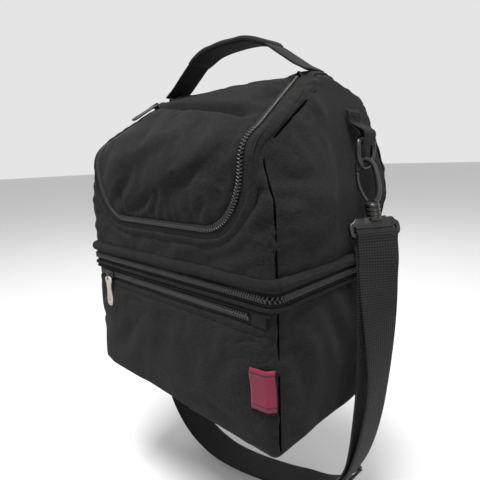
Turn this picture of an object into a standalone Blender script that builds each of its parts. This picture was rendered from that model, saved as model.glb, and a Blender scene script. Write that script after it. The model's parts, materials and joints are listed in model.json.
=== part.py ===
"""Two-compartment insulated cooler bag with a carry handle and a shoulder strap.

The bag is drawn in millimetres with its base centred on (0, 0, 0): x to the right,
y to the back, z up.  GRIP is the middle of the carry handle's grip in those terms and
becomes the origin of the finished model, in metres.
"""
import math

import bmesh
import bpy
from mathutils import Matrix, Vector

# ---------------------------------------------------------------- driving dimensions, mm
NAME = "cooler_bag"
GRIP = Vector((0.0, 20.0, 341.0))
HALF_W = 130.0          # half the bag's width
HALF_D = 80.0           # half its depth
CORNER = 10.0           # upright edges, in plan
BELT_Z = 131.0          # line of the main zip
SHOULDER_Z = 241.0      # front edge of the sloping top
RIDGE = (20.0, 303.0)   # y, z of the ridge that carries the handle
BACK_TOP_Z = 283.0
LEAN_Z = 200.0          # the sides lean in above this height
TOP_HALF_W = 112.0      # half width at the ridge
SKIN = 1.2              # outer fabric with its seam allowances
FOAM = 4.7              # closed-cell foam boards
GAP = 0.3               # clearance between touching pieces
LINING_IN = 7.5         # depth of the foil lining below the outside
FOIL = 0.4
WEB = 38.0              # shoulder webbing width
WEB_T = 2.0
HANDLE_W = 28.0
HANDLE_T = 2.4
RING_R = 13.0           # bow of the D-ring, centre line
RING_AT = Vector((135.0, 40.0, 233.0))   # centre of the right bow
HOOK_TURN = math.radians(30.0)           # the hook's plane, from +X towards +Y
FRAME_TURN = math.radians(60.0)          # the webbing frame's plane
HANG = Vector((0.225, -0.078))           # lean of the right hook, x and y per mm down
BAR_Z = 163.0                            # lower bar of the webbing frame
LID_TILT = math.radians(30.0)            # the lid's outline is cut along this direction
LID_TOP_V = 252.0                        # hinge line of the lid, up the outline's plane
LID_HINGE = Vector((0.0, -2.6, 295.5))
BELT_HINGE = Vector((0.0, 81.5, 131.0))


# ---------------------------------------------------------------- scene and bodies
def clear_scene():
    for obj in list(bpy.data.objects):
        bpy.data.objects.remove(obj, do_unlink=True)


def world(point):
    """Bag millimetres to model metres."""
    return (Vector(point) - GRIP) * 0.001


clear_scene()
PARTS = bpy.data.collections.new(NAME)
TOOLS = bpy.data.collections.new(NAME + "_cutters")
bpy.context.scene.collection.children.link(PARTS)
bpy.context.scene.collection.children.link(TOOLS)
MATERIALS = {}
BODIES = {}


def material(name, rgb, rough, metal=0.0):
    mat = bpy.data.materials.new(name)
    mat.use_nodes = True
    shader = mat.node_tree.nodes["Principled BSDF"]
    shader.inputs["Base Color"].default_value = (*rgb, 1.0)
    shader.inputs["Roughness"].default_value = rough
    shader.inputs["Metallic"].default_value = metal
    MATERIALS[name] = mat


def body(name, pivot, parent=None):
    """An empty on the body's joint axis; its pieces hang from it."""
    empty = bpy.data.objects.new(name, None)
    empty.empty_display_size = 0.02
    PARTS.objects.link(empty)
    at = world(pivot)
    if parent:
        empty.parent = BODIES[parent][0]
        empty.location = at - BODIES[parent][1]
    else:
        empty.location = at
    BODIES[name] = (empty, at)


def attach(obj, body_name, mat):
    """Hang an object, drawn in model metres, from its body's empty."""
    empty, pivot = BODIES[body_name]
    PARTS.objects.link(obj)
    obj.data.transform(Matrix.Translation(-pivot))
    obj.parent = empty
    obj.data.materials.append(MATERIALS[mat])
    return obj


def from_bmesh(name, bm, body_name, mat, smooth=35.0):
    bmesh.ops.recalc_face_normals(bm, faces=bm.faces)
    mesh = bpy.data.meshes.new(name)
    bm.to_mesh(mesh)
    bm.free()
    if smooth:
        mesh.shade_smooth()
        mesh.set_sharp_from_angle(angle=math.radians(smooth))
    return attach(bpy.data.objects.new(name, mesh), body_name, mat)


def cutter(name, bm):
    bmesh.ops.recalc_face_normals(bm, faces=bm.faces)
    mesh = bpy.data.meshes.new(name)
    bm.to_mesh(mesh)
    bm.free()
    obj = bpy.data.objects.new(name, mesh)
    TOOLS.objects.link(obj)
    obj.hide_render = True
    obj.display_type = "WIRE"
    return obj


def boolean(obj, other, operation):
    mod = obj.modifiers.new(other.name, "BOOLEAN")
    mod.operation = operation
    mod.object = other
    mod.solver = "EXACT"
    return obj


# ---------------------------------------------------------------- mesh helpers
def add_box(bm, lo, hi):
    """An axis-aligned box between two corners."""
    a, b = world(lo), world(hi)
    mid, size = (a + b) / 2, b - a
    grow = Matrix.Translation(mid) @ Matrix.Diagonal((*size, 1.0))
    bmesh.ops.create_cube(bm, size=1.0, matrix=grow)


def add_turned_box(bm, centre, half, turn_z=0.0, turn_y=0.0, turn_x=0.0):
    """A box of the given half sizes, turned about its centre."""
    spin = (Matrix.Rotation(turn_z, 4, "Z") @ Matrix.Rotation(turn_y, 4, "Y")
            @ Matrix.Rotation(turn_x, 4, "X"))
    size = [2 * h * 0.001 for h in half]
    place = Matrix.Translation(world(centre)) @ spin @ Matrix.Diagonal((*size, 1.0))
    bmesh.ops.create_cube(bm, size=1.0, matrix=place)


def add_cylinder(bm, centre, radius, length, axis="Z", sides=16):
    turn = {"Z": Matrix.Identity(4),
            "Y": Matrix.Rotation(math.radians(90), 4, "X"),
            "X": Matrix.Rotation(math.radians(90), 4, "Y")}[axis]
    place = Matrix.Translation(world(centre)) @ turn
    bmesh.ops.create_cone(bm, cap_ends=True, segments=sides, radius1=radius * 0.001,
                          radius2=radius * 0.001, depth=length * 0.001, matrix=place)


def add_loft(bm, rings, cap=True, closed=False):
    """Skin matching rings of points; capped at both ends, or joined end to start."""
    rows = [[bm.verts.new(world(p)) for p in ring] for ring in rings]
    pairs = list(zip(rows, rows[1:]))
    if closed:
        pairs.append((rows[-1], rows[0]))
    count = len(rows[0])
    for low, high in pairs:
        for i in range(count):
            j = (i + 1) % count
            bm.faces.new((low[i], low[j], high[j], high[i]))
    if cap and not closed:
        bm.faces.new(rows[0])
        bm.faces.new(rows[-1])


def add_prism(bm, outline, to_space, near, far):
    """An outline of 2D points, carried into space at two depths and closed."""
    add_loft(bm, [[to_space(p, near) for p in outline], [to_space(p, far) for p in outline]])


def upright(p, x):
    """(y, z) outline points on the plane of constant x."""
    return (x, p[0], p[1])


def flat(p, z):
    """(x, y) outline points at height z."""
    return (p[0], p[1], z)


def facing(p, y):
    """(x, z) outline points on the plane of constant y."""
    return (p[0], y, p[1])


def offset_corners(corners, offset):
    """Move every edge of an anticlockwise outline outwards."""
    out = []
    for i, here in enumerate(corners):
        before, after = corners[i - 1], corners[(i + 1) % len(corners)]
        d1 = (here - before).normalized()
        d2 = (after - here).normalized()
        n1, n2 = Vector((d1.y, -d1.x)), Vector((d2.y, -d2.x))
        out.append(here + (n1 + n2) * (offset / (1.0 + n1.dot(n2))))
    return out


def rounded(corners, radii, offset=0.0, steps=5):
    """A closed anticlockwise outline with filleted corners, grown by offset."""
    grown = offset_corners([Vector(c) for c in corners], offset)
    points = []
    for i, here in enumerate(grown):
        before, after = grown[i - 1], grown[(i + 1) % len(grown)]
        d1, d2 = (before - here).normalized(), (after - here).normalized()
        half = d1.angle(d2) / 2
        radius = max(radii[i] + offset, 0.4)
        centre = here + (d1 + d2).normalized() * (radius / math.sin(half))
        start, end = here + d1 * (radius / math.tan(half)), here + d2 * (radius / math.tan(half))
        a0 = math.atan2(start.y - centre.y, start.x - centre.x)
        a1 = math.atan2(end.y - centre.y, end.x - centre.x)
        sweep = (a1 - a0 + math.pi) % (2 * math.pi) - math.pi
        for k in range(steps + 1):
            a = a0 + sweep * k / steps
            points.append((centre.x + radius * math.cos(a), centre.y + radius * math.sin(a)))
    return points


def smooth_path(points, per_span):
    """Points on a Catmull-Rom curve through the given ones."""
    pts = [Vector(p) for p in points]
    ends = [pts[0] * 2 - pts[1]] + pts + [pts[-1] * 2 - pts[-2]]
    out = []
    for i in range(1, len(ends) - 2):
        a, b, c, d = ends[i - 1:i + 3]
        for k in range(per_span):
            t = k / per_span
            out.append(0.5 * (2 * b + (c - a) * t + (2 * a - 5 * b + 4 * c - d) * t * t
                              + (3 * b - a - 3 * c + d) * t ** 3))
    out.append(pts[-1])
    return out


def add_ribbon(bm, path, across, half_w, half_t):
    """A flat strip along a path; across gives its width direction at each point."""
    rings = []
    for i, p in enumerate(path):
        run = (path[min(i + 1, len(path) - 1)] - path[max(i - 1, 0)]).normalized()
        side = across[i] - run * across[i].dot(run)
        side.normalize()
        face = run.cross(side)
        rings.append([p + side * half_w + face * half_t, p - side * half_w + face * half_t,
                      p - side * half_w - face * half_t, p + side * half_w - face * half_t])
    add_loft(bm, rings)


def tube(name, path, radius, body_name, mat, resolution=2, cyclic=False):
    """A round bar: a poly curve with a bevel and filled caps."""
    curve = bpy.data.curves.new(name, "CURVE")
    curve.dimensions = "3D"
    curve.bevel_depth = radius * 0.001
    curve.bevel_resolution = resolution
    curve.use_fill_caps = not cyclic
    spline = curve.splines.new("POLY")
    spline.points.add(len(path) - 1)
    spline.use_cyclic_u = cyclic
    for point, p in zip(spline.points, path):
        point.co = (*world(p), 1.0)
    return attach(bpy.data.objects.new(name, curve), body_name, mat)


# ---------------------------------------------------------------- the bag's outer form
def half_width(z):
    if z <= LEAN_Z:
        return HALF_W
    return HALF_W - (HALF_W - TOP_HALF_W) * (z - LEAN_Z) / (RIDGE[1] - LEAN_Z)


def side_profile(inset):
    """Front and back y at any height of the upper compartment, and its top."""
    corners = [(-HALF_D, 60.0), (HALF_D, 60.0), (HALF_D, BACK_TOP_Z), RIDGE,
               (-HALF_D, SHOULDER_Z)]
    outline = rounded(corners, [1, 1, 20, 26, 24], -inset, steps=8)
    top = max(range(len(outline)), key=lambda i: outline[i][1])
    back = outline[9:top + 1]
    front = outline[top:] + outline[:1]
    return front[::-1], back


def read_profile(side, z):
    for (y0, z0), (y1, z1) in zip(side, side[1:]):
        if z0 <= z <= z1 and z1 > z0:
            return y0 + (y1 - y0) * (z - z0) / (z1 - z0)
    return side[-1][0]


def plan_ring(half_x, y0, y1, radius, z, steps=4):
    """A rounded rectangle at height z, anticlockwise from the front left."""
    r = max(min(radius, (y1 - y0) / 2 - 0.05), 0.2)
    ring = []
    for cx, cy, a0 in ((-half_x + r, y0 + r, 180), (half_x - r, y0 + r, 270),
                       (half_x - r, y1 - r, 0), (-half_x + r, y1 - r, 90)):
        for k in range(steps + 1):
            a = math.radians(a0 + 90 * k / steps)
            ring.append((cx + r * math.cos(a), cy + r * math.sin(a), z))
    return ring


def upper_rings(inset, bottom):
    """Level sections of the upper compartment, inset from its outside."""
    front, back = side_profile(inset)
    top = front[-1][1]
    levels = [bottom, 170, LEAN_Z, 222, 232, 240, 248, 258]
    levels += [top - d for d in (34, 26, 19, 13, 8, 4.5, 2, 0.5)]
    rings = []
    for z in sorted(levels):
        if rings and z < rings[-1][0][2] + 0.8:
            continue
        rings.append(plan_ring(half_width(z) - inset, read_profile(front, z),
                               read_profile(back, z), max(CORNER - inset, 1.5), z))
    return rings


def add_upper_layer(bm, outer, inner, bottom):
    """A layer of the upper compartment between two depths, open at the bottom."""
    out, inn = upper_rings(outer, bottom), upper_rings(inner, bottom)
    rows_out = [[bm.verts.new(world(p)) for p in ring] for ring in out]
    rows_in = [[bm.verts.new(world(p)) for p in ring] for ring in inn]
    for rows in (rows_out, rows_in):
        for low, high in zip(rows, rows[1:]):
            for i in range(len(low)):
                j = (i + 1) % len(low)
                bm.faces.new((low[i], low[j], high[j], high[i]))
        bm.faces.new(rows[-1])
    low, high = rows_out[0], rows_in[0]
    for i in range(len(low)):
        j = (i + 1) % len(low)
        bm.faces.new((low[i], low[j], high[j], high[i]))


# ---------------------------------------------------------------- the lid's outline
LID_CORNERS = [(-104, 113), (104, 113), (104, 188), (84, 276), (-84, 276), (-104, 188)]


def lid_plane(p, depth):
    """(x, v) points of the lid's outline, v running up the tilted cutting plane."""
    c, s = math.cos(LID_TILT), math.sin(LID_TILT)
    return (p[0], p[1] * s - depth * c, p[1] * c + depth * s)


def lid_outline(offset, top):
    """The zip's centre line grown by offset and closed across at height top."""
    pts = rounded(LID_CORNERS, [44, 44, 60, 2, 2, 60], offset, steps=9)
    kept = []
    for (x0, v0), (x1, v1) in zip(pts, pts[1:] + pts[:1]):
        if v0 <= top:
            kept.append((x0, v0))
        if (v0 - top) * (v1 - top) < 0:
            t = (top - v0) / (v1 - v0)
            kept.append((x0 + t * (x1 - x0), top))
    return kept


def lid_cutter(name, offset, top):
    bm = bmesh.new()
    add_prism(bm, lid_outline(offset, top), lid_plane, 108.0, 240.0)
    return cutter(name, bm)


# ---------------------------------------------------------------- lower compartment
def belt_path(offset, back=72.0):
    """The main zip's run, left rear to right rear round the front."""
    pts = [(-HALF_W - offset, back)]
    for cx, a0 in ((-HALF_W + CORNER, 180), (HALF_W - CORNER, 270)):
        for k in range(6):
            a = math.radians(a0 + 90 * k / 5)
            r = CORNER + offset
            pts.append((cx + r * math.cos(a), -HALF_D + CORNER + r * math.sin(a)))
    pts.append((HALF_W + offset, back))
    return pts


def belt_strip(name, section, body_name, mat):
    """Sweep an (outwards, z) section along the main zip."""
    bm = bmesh.new()
    paths = [(belt_path(off), z) for off, z in section]
    rings = []
    for i in range(len(paths[0][0])):
        rings.append([(path[i][0], path[i][1], z) for path, z in paths])
    add_loft(bm, rings)
    return from_bmesh(name, bm, body_name, mat)


def rect(off0, off1, z0, z1):
    return [(off0, z0), (off1, z0), (off1, z1), (off0, z1)]


def round_section(off, z, radius, sides=8):
    return [(off + radius * math.cos(2 * math.pi * k / sides),
             z + radius * math.sin(2 * math.pi * k / sides)) for k in range(sides)]


def box_outline(inset):
    corners = [(-HALF_W, -HALF_D), (HALF_W, -HALF_D), (HALF_W, HALF_D), (-HALF_W, HALF_D)]
    return rounded(corners, [CORNER] * 4, -inset)


def wall_ring(name, inset0, inset1, z0, z1, body_name, mat):
    """A wall right round the bag, open above and below."""
    bm = bmesh.new()
    a, b = box_outline(inset0), box_outline(inset1)
    add_loft(bm, [[flat(p, z0) for p in a], [flat(p, z1) for p in a],
                  [flat(p, z1) for p in b], [flat(p, z0) for p in b]], closed=True)
    return from_bmesh(name, bm, body_name, mat)


def tray(name, inset0, inset1, z0, floor, z1, body_name, mat):
    """An open-topped box with thin walls and floor."""
    bm = bmesh.new()
    a, b = box_outline(inset0), box_outline(inset1)
    add_loft(bm, [[flat(p, z0) for p in a], [flat(p, z1) for p in a],
                  [flat(p, z1) for p in b], [flat(p, floor) for p in b]])
    return from_bmesh(name, bm, body_name, mat)


def board(name, lo, hi, body_name, mat="foam"):
    bm = bmesh.new()
    add_box(bm, lo, hi)
    return from_bmesh(name, bm, body_name, mat, smooth=None)


def lower_compartment():
    low = "lower_compartment"
    wall_ring("lower_wall_skin", 0.0, SKIN, 1.8, 130.6, low, "melange_fabric")
    bm = bmesh.new()
    add_prism(bm, box_outline(0.0), flat, 0.0, 1.5)
    from_bmesh("lower_base_skin", bm, low, "melange_fabric")
    out, inn = HALF_D - SKIN - GAP, HALF_D - SKIN - GAP - FOAM
    side, side_in = HALF_W - SKIN - GAP, HALF_W - SKIN - GAP - FOAM
    board("lower_foam_front", (-118, -out, 7.0), (118, -inn, 126), low)
    board("lower_foam_back", (-118, inn, 7.0), (118, out, 126), low)
    board("lower_foam_right", (side_in, -68, 7.0), (side, 68, 126), low)
    board("lower_foam_left", (-side, -68, 7.0), (-side_in, 68, 126), low)
    board("lower_foam_base", (-122, -72, 1.8), (122, 72, 6.7), low)
    tray("lower_lining", LINING_IN, LINING_IN + FOIL, 7.0, 7.4, 126.5, low, "foil")


def front_pocket():
    low = "lower_compartment"
    bm = bmesh.new()
    outline = rounded([(-125, 5), (125, 5), (125, 106), (-125, 106)], [4, 4, 1.5, 1.5])
    add_prism(bm, outline, facing, -HALF_D - GAP, -HALF_D - GAP - 1.2)
    from_bmesh("front_pocket_panel", bm, low, "melange_fabric")
    board("pocket_zip_tape", (-120, -81.1, 106.4), (110, -80.3, 119.6), low, "zip_tape")
    board("pocket_zip_teeth", (-118, -82.6, 110.6), (108, -81.4, 115.4), low, "zip_teeth")
    board("pocket_zip_end_tab", (110.4, -82.0, 106.5), (124.5, -80.3, 119.6), low,
          "melange_fabric")
    board("side_label", (104, -82.8, 44), (128, -81.9, 78), low, "label_weave")


def main_zip():
    low, up = "lower_compartment", "upper_compartment"
    belt_strip("belt_lower_tape", rect(0.3, 1.1, 121.8, 130.6), low, "zip_tape")
    belt_strip("belt_lower_teeth", rect(1.4, 3.4, 128.6, 130.7), low, "zip_teeth")
    belt_strip("belt_lower_piping", round_section(3.3, 122.4, 1.8), low, "melange_fabric")
    belt_strip("belt_upper_tape", rect(0.3, 1.1, 131.4, 136.2), up, "zip_tape")
    belt_strip("belt_upper_teeth", rect(1.4, 3.4, 131.3, 133.4), up, "zip_teeth")
    welt = [(0.3, 136.6), (5.2, 136.6), (6.9, 138.6), (6.9, 143.0), (4.8, 145.8), (0.3, 145.8)]
    belt_strip("belt_upper_welt", welt, up, "melange_fabric")


# ---------------------------------------------------------------- upper compartment
def slope_line(y, inset):
    """Height of the sloping front top at y, lowered square to itself by inset."""
    rise = (RIDGE[1] - SHOULDER_Z) / (RIDGE[0] + HALF_D)
    return SHOULDER_Z + rise * (y + HALF_D) - inset * math.hypot(1.0, rise)


def add_slope_board(bm, y0, y1, out, inn, margin):
    """A flat foam board under the slope, its ends following the leaning sides."""
    rings = []
    for sign in (-1, 1):
        ring = []
        for y, inset in ((y0, out), (y1, out), (y1, inn), (y0, inn)):
            z = slope_line(y, inset)
            ring.append((sign * (half_width(slope_line(y, 0.0)) - margin), y, z))
        rings.append(ring)
    add_loft(bm, rings)


def upper_shell():
    up = "upper_compartment"
    bm = bmesh.new()
    add_upper_layer(bm, 0.0, SKIN, BELT_Z + 0.4)
    skin = from_bmesh("upper_skin", bm, up, "melange_fabric")
    boolean(skin, lid_cutter("cut_skin", 2.9, LID_TOP_V + 0.3), "DIFFERENCE")
    bm = bmesh.new()
    add_upper_layer(bm, LINING_IN, LINING_IN + FOIL, 144.0)
    lining = from_bmesh("upper_lining", bm, up, "foil")
    boolean(lining, lid_cutter("cut_lining", 2.0, LID_TOP_V + 0.3), "DIFFERENCE")
    board("divider_panel", (-126, -76, 137.0), (126, 76, 141.6), up)


def side_foam(side, sign):
    """Two flat boards, one upright and one leaning with the side."""
    up = "upper_compartment"
    out, inn = SKIN + GAP, SKIN + GAP + FOAM
    bm = bmesh.new()
    add_box(bm, (sign * (HALF_W - inn), -68, 143.5), (sign * (HALF_W - out), 68, 199.6))
    from_bmesh("upper_foam_%s_low" % side, bm, up, "foam", smooth=None)
    outline = [(-68, 200.2), (68, 200.2), (68, 276), (22, 291.5), (10, 288), (-68, 240)]
    bm = bmesh.new()
    add_loft(bm, [[(sign * (half_width(z) - depth), y, z) for y, z in outline]
                  for depth in (out, inn)])
    from_bmesh("upper_foam_%s_top" % side, bm, up, "foam", smooth=None)


def upper_foam():
    up = "upper_compartment"
    side_foam("right", 1)
    side_foam("left", -1)
    out, inn = HALF_D - SKIN - GAP, HALF_D - SKIN - GAP - FOAM
    board("upper_foam_back", (-112, inn, 143.5), (112, out, 256), up)
    opening = lid_cutter("cut_foam", 3.5, LID_TOP_V + 0.3)
    front = board("upper_foam_front", (-118, -out, 143.5), (118, -inn, 219), up)
    boolean(front, opening, "DIFFERENCE")
    bm = bmesh.new()
    add_slope_board(bm, -62.0, 10.0, SKIN + 0.5, SKIN + GAP + FOAM, 8.0)
    slope = from_bmesh("upper_foam_slope", bm, up, "foam", smooth=None)
    boolean(slope, opening, "DIFFERENCE")
    bm = bmesh.new()
    rings = []
    for x in (-102, 102):
        rings.append([(x, 30, 297.4), (x, 66, 285.6), (x, 64.5, 281.2), (x, 28.5, 293.0)])
    add_loft(bm, rings)
    from_bmesh("upper_foam_top", bm, up, "foam", smooth=None)


# ---------------------------------------------------------------- lid and its zip
def zip_band(name, body_name, mat, outer, inner, grown, shrunk, top):
    """A strip of the lid's zip, following the bag's surface between two outlines."""
    bm = bmesh.new()
    add_upper_layer(bm, outer, inner, 150.0)
    strip = from_bmesh(name, bm, body_name, mat)
    boolean(strip, lid_cutter("keep_" + name, grown, top), "INTERSECT")
    beyond = 275.0 if top > LID_TOP_V else top + 8.0
    boolean(strip, lid_cutter("drop_" + name, shrunk, beyond), "DIFFERENCE")
    return strip


def lid_layer(name, mat, outer, inner, offset):
    bm = bmesh.new()
    add_upper_layer(bm, outer, inner, 150.0)
    layer = from_bmesh(name, bm, "lid", mat)
    return boolean(layer, lid_cutter("keep_" + name, offset, LID_TOP_V - 0.6), "INTERSECT")


def lid():
    up = "upper_compartment"
    zip_band("lid_zip_outer_tape", up, "zip_tape", -1.2, -0.3, 11.0, 3.2, 257.5)
    zip_band("lid_zip_outer_teeth", up, "zip_teeth", -2.2, -0.3, 2.6, 0.25, 257.5)
    zip_band("lid_zip_inner_teeth", "lid", "zip_teeth", -2.2, 0.6, -0.25, -2.6, 251.0)
    lid_layer("lid_skin", "melange_fabric", -5.0, 1.2, -3.0)
    lid_layer("lid_lining", "foil", LINING_IN, LINING_IN + FOIL, -4.0)
    keep = lid_cutter("keep_lid_foam", -12.0, LID_TOP_V - 6.0)
    front = board("lid_foam_front", (-110, -HALF_D + 1.6, 160),
                  (110, -HALF_D + 1.6 + FOAM, 219), "lid")
    boolean(front, keep, "INTERSECT")
    bm = bmesh.new()
    add_slope_board(bm, -62.0, 2.0, SKIN + 0.6, SKIN + GAP + FOAM, 8.0)
    slope = from_bmesh("lid_foam_slope", bm, "lid", "foam", smooth=None)
    boolean(slope, keep, "INTERSECT")


# ---------------------------------------------------------------- zip sliders and pulls
def slider_block(name, centre, along, out, body_name):
    """Slider body with its bridge united into one solid."""
    along, out = Vector(along).normalized(), Vector(out).normalized()
    spin = Matrix((along, out.cross(along), out)).transposed().to_4x4()
    profile = rounded([(-6.5, -4.3), (6.5, -3.4), (6.5, 3.4), (-6.5, 4.3)], [1.6] * 4, steps=3)
    bm = bmesh.new()
    rings = []
    for z, scale in ((-1.1, 1.0), (0.7, 1.0), (1.1, 0.93)):
        ring = []
        for u, v in profile:
            local = spin @ Vector((u * scale, v * scale, z))
            ring.append(Vector(centre) + local)
        rings.append(ring)
    add_loft(bm, rings)
    return from_bmesh(name, bm, body_name, "zip_metal")


def pull_tab(name, hinge, along, out, body_name, length=33.0, width=8.6):
    """A tapered pull with a hole for the slider's ring, hanging along a direction."""
    along, out = Vector(along).normalized(), Vector(out).normalized()
    across = out.cross(along)
    half = width / 2
    outline = rounded([(0.6, -half * 0.55), (length * 0.4, -half * 0.62), (length, -half * 0.9),
                       (length, half * 0.9), (length * 0.4, half * 0.62), (0.6, half * 0.55)],
                      [1.4, 4, 3.2, 3.2, 4, 1.4], steps=3)
    bm = bmesh.new()
    rings = []
    for lift in (-0.8, 0.8):
        rings.append([Vector(hinge) + along * u + across * v + out * lift for u, v in outline])
    add_loft(bm, rings)
    return from_bmesh(name, bm, body_name, "zip_metal")


POCKET_SLIDER = Vector((-96.0, -84.3, 113.0))
POCKET_PULL = Vector((-96.0, -87.0, 111.5))
LID_RUN = Vector((-14.5, -64.0, -39.7)).normalized()
LID_OUT = Vector((0.0, -0.527, 0.85))
LID_SLIDER = Vector((-96.1, -3.0, 289.0)) + LID_OUT * 4.2
BELT_SLIDER = Vector((-HALF_W - 5.0, 58.0, 131.0))


def sliders():
    slider_block("pocket_slider_block", POCKET_SLIDER, (1, 0, 0), (0, -1, 0), "pocket_slider")
    pull_tab("pocket_pull_tab", POCKET_PULL, (0, 0, -1), (0, -1, 0), "pocket_pull")
    slider_block("lid_slider_block", LID_SLIDER, LID_RUN, LID_OUT, "lid_slider")
    pull_tab("lid_pull_tab", LID_SLIDER + LID_OUT * 2.7 + LID_RUN * 2.0, LID_RUN, LID_OUT,
             "lid_pull")
    slider_block("belt_slider_block", BELT_SLIDER, (0, -1, 0), (-1, 0, 0), "belt_slider")
    pull_tab("belt_pull_tab", BELT_SLIDER + Vector((-2.9, 0, -1.5)), (0, 0, -1), (-1, 0, 0),
             "belt_pull", length=30.0)


# ---------------------------------------------------------------- carry handle
def handle_anchor(name, sign):
    """The handle's end, sewn down over the ridge."""
    bm = bmesh.new()
    add_upper_layer(bm, -2.5, -0.3, 250.0)
    patch = from_bmesh(name, bm, "upper_compartment", "webbing")
    bm = bmesh.new()
    half = HANDLE_W / 2
    add_box(bm, (sign * 78, RIDGE[0] - half, 280), (sign * 104, RIDGE[0] + half, 330))
    return boolean(patch, cutter("keep_" + name, bm), "INTERSECT")


def handle_path():
    """The webbing's arch, drawn up by the hand."""
    right = [(92, 304.6), (84, 309.0), (68, 320.0), (52, 330.5), (34, 338.0), (14, 340.6)]
    points = [(x, RIDGE[0], z) for x, z in right]
    return points + [(-x, y, z) for x, y, z in reversed(points)]


def carry_handle():
    handle_anchor("handle_anchor_right", 1)
    handle_anchor("handle_anchor_left", -1)
    path = smooth_path(handle_path(), 3)
    across = [Vector((0, 1, 0))] * len(path)
    bm = bmesh.new()
    add_ribbon(bm, path, across, HANDLE_W / 2, HANDLE_T / 2)
    from_bmesh("handle_webbing", bm, "carry_handle", "webbing")
    grip = [p for p in path if abs(p.x) <= 53.0]
    bm = bmesh.new()
    rings = []
    half, skin, wrap = HANDLE_W / 2 + 0.4, HANDLE_T / 2 + 0.3, 1.4
    for i, p in enumerate(grip):
        run = (grip[min(i + 1, len(grip) - 1)] - grip[max(i - 1, 0)]).normalized()
        up = Vector((0, 1, 0)).cross(run)
        y = Vector((0, 1, 0))
        outer = [p + y * s * (half + wrap) + up * t * (skin + wrap)
                 for s, t in ((1, -1), (1, 1), (-1, 1), (-1, -1))]
        inner = [p + y * s * half + up * t * skin
                 for s, t in ((-1, -1), (-1, 1), (1, 1), (1, -1))]
        rings.append((outer, inner))
    add_sleeve(bm, rings)
    from_bmesh("handle_grip", bm, "carry_handle", "melange_fabric")


def add_sleeve(bm, rings):
    """A rectangular sleeve open at both ends."""
    outer = [[bm.verts.new(world(p)) for p in o] for o, _ in rings]
    inner = [[bm.verts.new(world(p)) for p in reversed(i)] for _, i in rings]
    for rows in (outer, inner):
        for a, b in zip(rows, rows[1:]):
            for i in range(4):
                j = (i + 1) % 4
                bm.faces.new((a[i], a[j], b[j], b[i]))
    for k in (0, -1):
        for i in range(4):
            j = (i + 1) % 4
            bm.faces.new((outer[k][i], outer[k][j], inner[k][j], inner[k][i]))


# ---------------------------------------------------------------- D-rings and their tabs
def d_ring(name, sign):
    """A moulded D: straight bar above, half-round bow below."""
    at = Vector((sign * RING_AT.x, RING_AT.y, RING_AT.z))
    path = [at + Vector((0, -RING_R, 9.0)), at + Vector((0, RING_R, 9.0))]
    for k in range(13):
        a = math.radians(0 - 180 * k / 12)
        path.append(at + Vector((0, RING_R * math.cos(a), RING_R * math.sin(a))))
    tube(name, path, 2.1, "upper_compartment", "moulded_plastic", resolution=2, cyclic=True)


def strap_tab(name, sign):
    """A folded fabric tab sewn to the side, looped round the D-ring's bar."""
    bar = Vector((sign * RING_AT.x, RING_AT.y, RING_AT.z + 9.0))
    root = Vector((sign * (half_width(264) + 1.9), RING_AT.y, 264.0))
    bm = bmesh.new()
    add_cylinder(bm, bar, 4.3, 19.0, "Y", 16)
    tab = from_bmesh(name, bm, "upper_compartment", "melange_fabric")
    bm = bmesh.new()
    run = root - bar
    mid = bar + run * 0.5
    turn = math.atan2(run.x, run.z)
    add_turned_box(bm, mid, (1.5, 9.5, run.length / 2), turn_y=turn)
    boolean(tab, cutter("join_" + name, bm), "UNION")
    bm = bmesh.new()
    add_cylinder(bm, bar, 2.5, 30.0, "Y", 16)
    boolean(tab, cutter("bore_" + name, bm), "DIFFERENCE")


# ---------------------------------------------------------------- snap hooks
def hang(sign, z):
    """The leaning axis that the hook and its webbing frame hang along."""
    drop = RING_AT.z - RING_R - z
    return Vector((sign * (RING_AT.x + HANG.x * drop), RING_AT.y + HANG.y * drop, z))


def hook_space(sign, u, z, turn=HOOK_TURN):
    """A point in the hook's plane, u outwards from the hanging axis."""
    return hang(sign, z) + Vector((sign * u * math.cos(turn), u * math.sin(turn), 0.0))


def snap_hook(side, sign):
    spine = [(4.6, 191.6), (7.6, 196.5), (8.2, 205), (8.0, 213), (6.9, 220), (3.8, 224.9),
             (0.0, 226.3), (-3.9, 224.6), (-6.4, 220.6), (-7.0, 217.0)]
    path = smooth_path([hook_space(sign, u, z) for u, z in spine], 2)
    tube("hook_spine_" + side, path, 2.3, "shoulder_strap", "moulded_plastic", resolution=2)
    gate = [(-2.6, 192.0), (-5.6, 197.0), (-7.8, 204.0), (-7.9, 210.0), (-7.3, 214.1)]
    path = smooth_path([hook_space(sign, u, z) for u, z in gate], 2)
    tube("hook_gate_" + side, path, 1.4, "snap_gate_" + side, "moulded_plastic", resolution=2)


def add_hung_column(bm, sign, u, sections, sides=16):
    """A turned column on the leaning axis: (height, radius) sections."""
    rings = []
    for z, radius in sections:
        c = hook_space(sign, u, z)
        rings.append([c + Vector((radius * math.cos(2 * math.pi * k / sides),
                                  radius * math.sin(2 * math.pi * k / sides), 0.0))
                      for k in range(sides)])
    add_loft(bm, rings)


def add_hung_plate(bm, sign, half_w, half_t, z0, z1):
    """A plate in the webbing frame's plane, following the leaning axis."""
    wide = Vector((sign * math.cos(FRAME_TURN), math.sin(FRAME_TURN), 0.0))
    thick = Vector((-sign * math.sin(FRAME_TURN), math.cos(FRAME_TURN), 0.0))
    rings = []
    for z in (z0, z1):
        c = hang(sign, z)
        rings.append([c + wide * (half_w * a) + thick * (half_t * b)
                      for a, b in ((-1, -1), (1, -1), (1, 1), (-1, 1))])
    add_loft(bm, rings)


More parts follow.
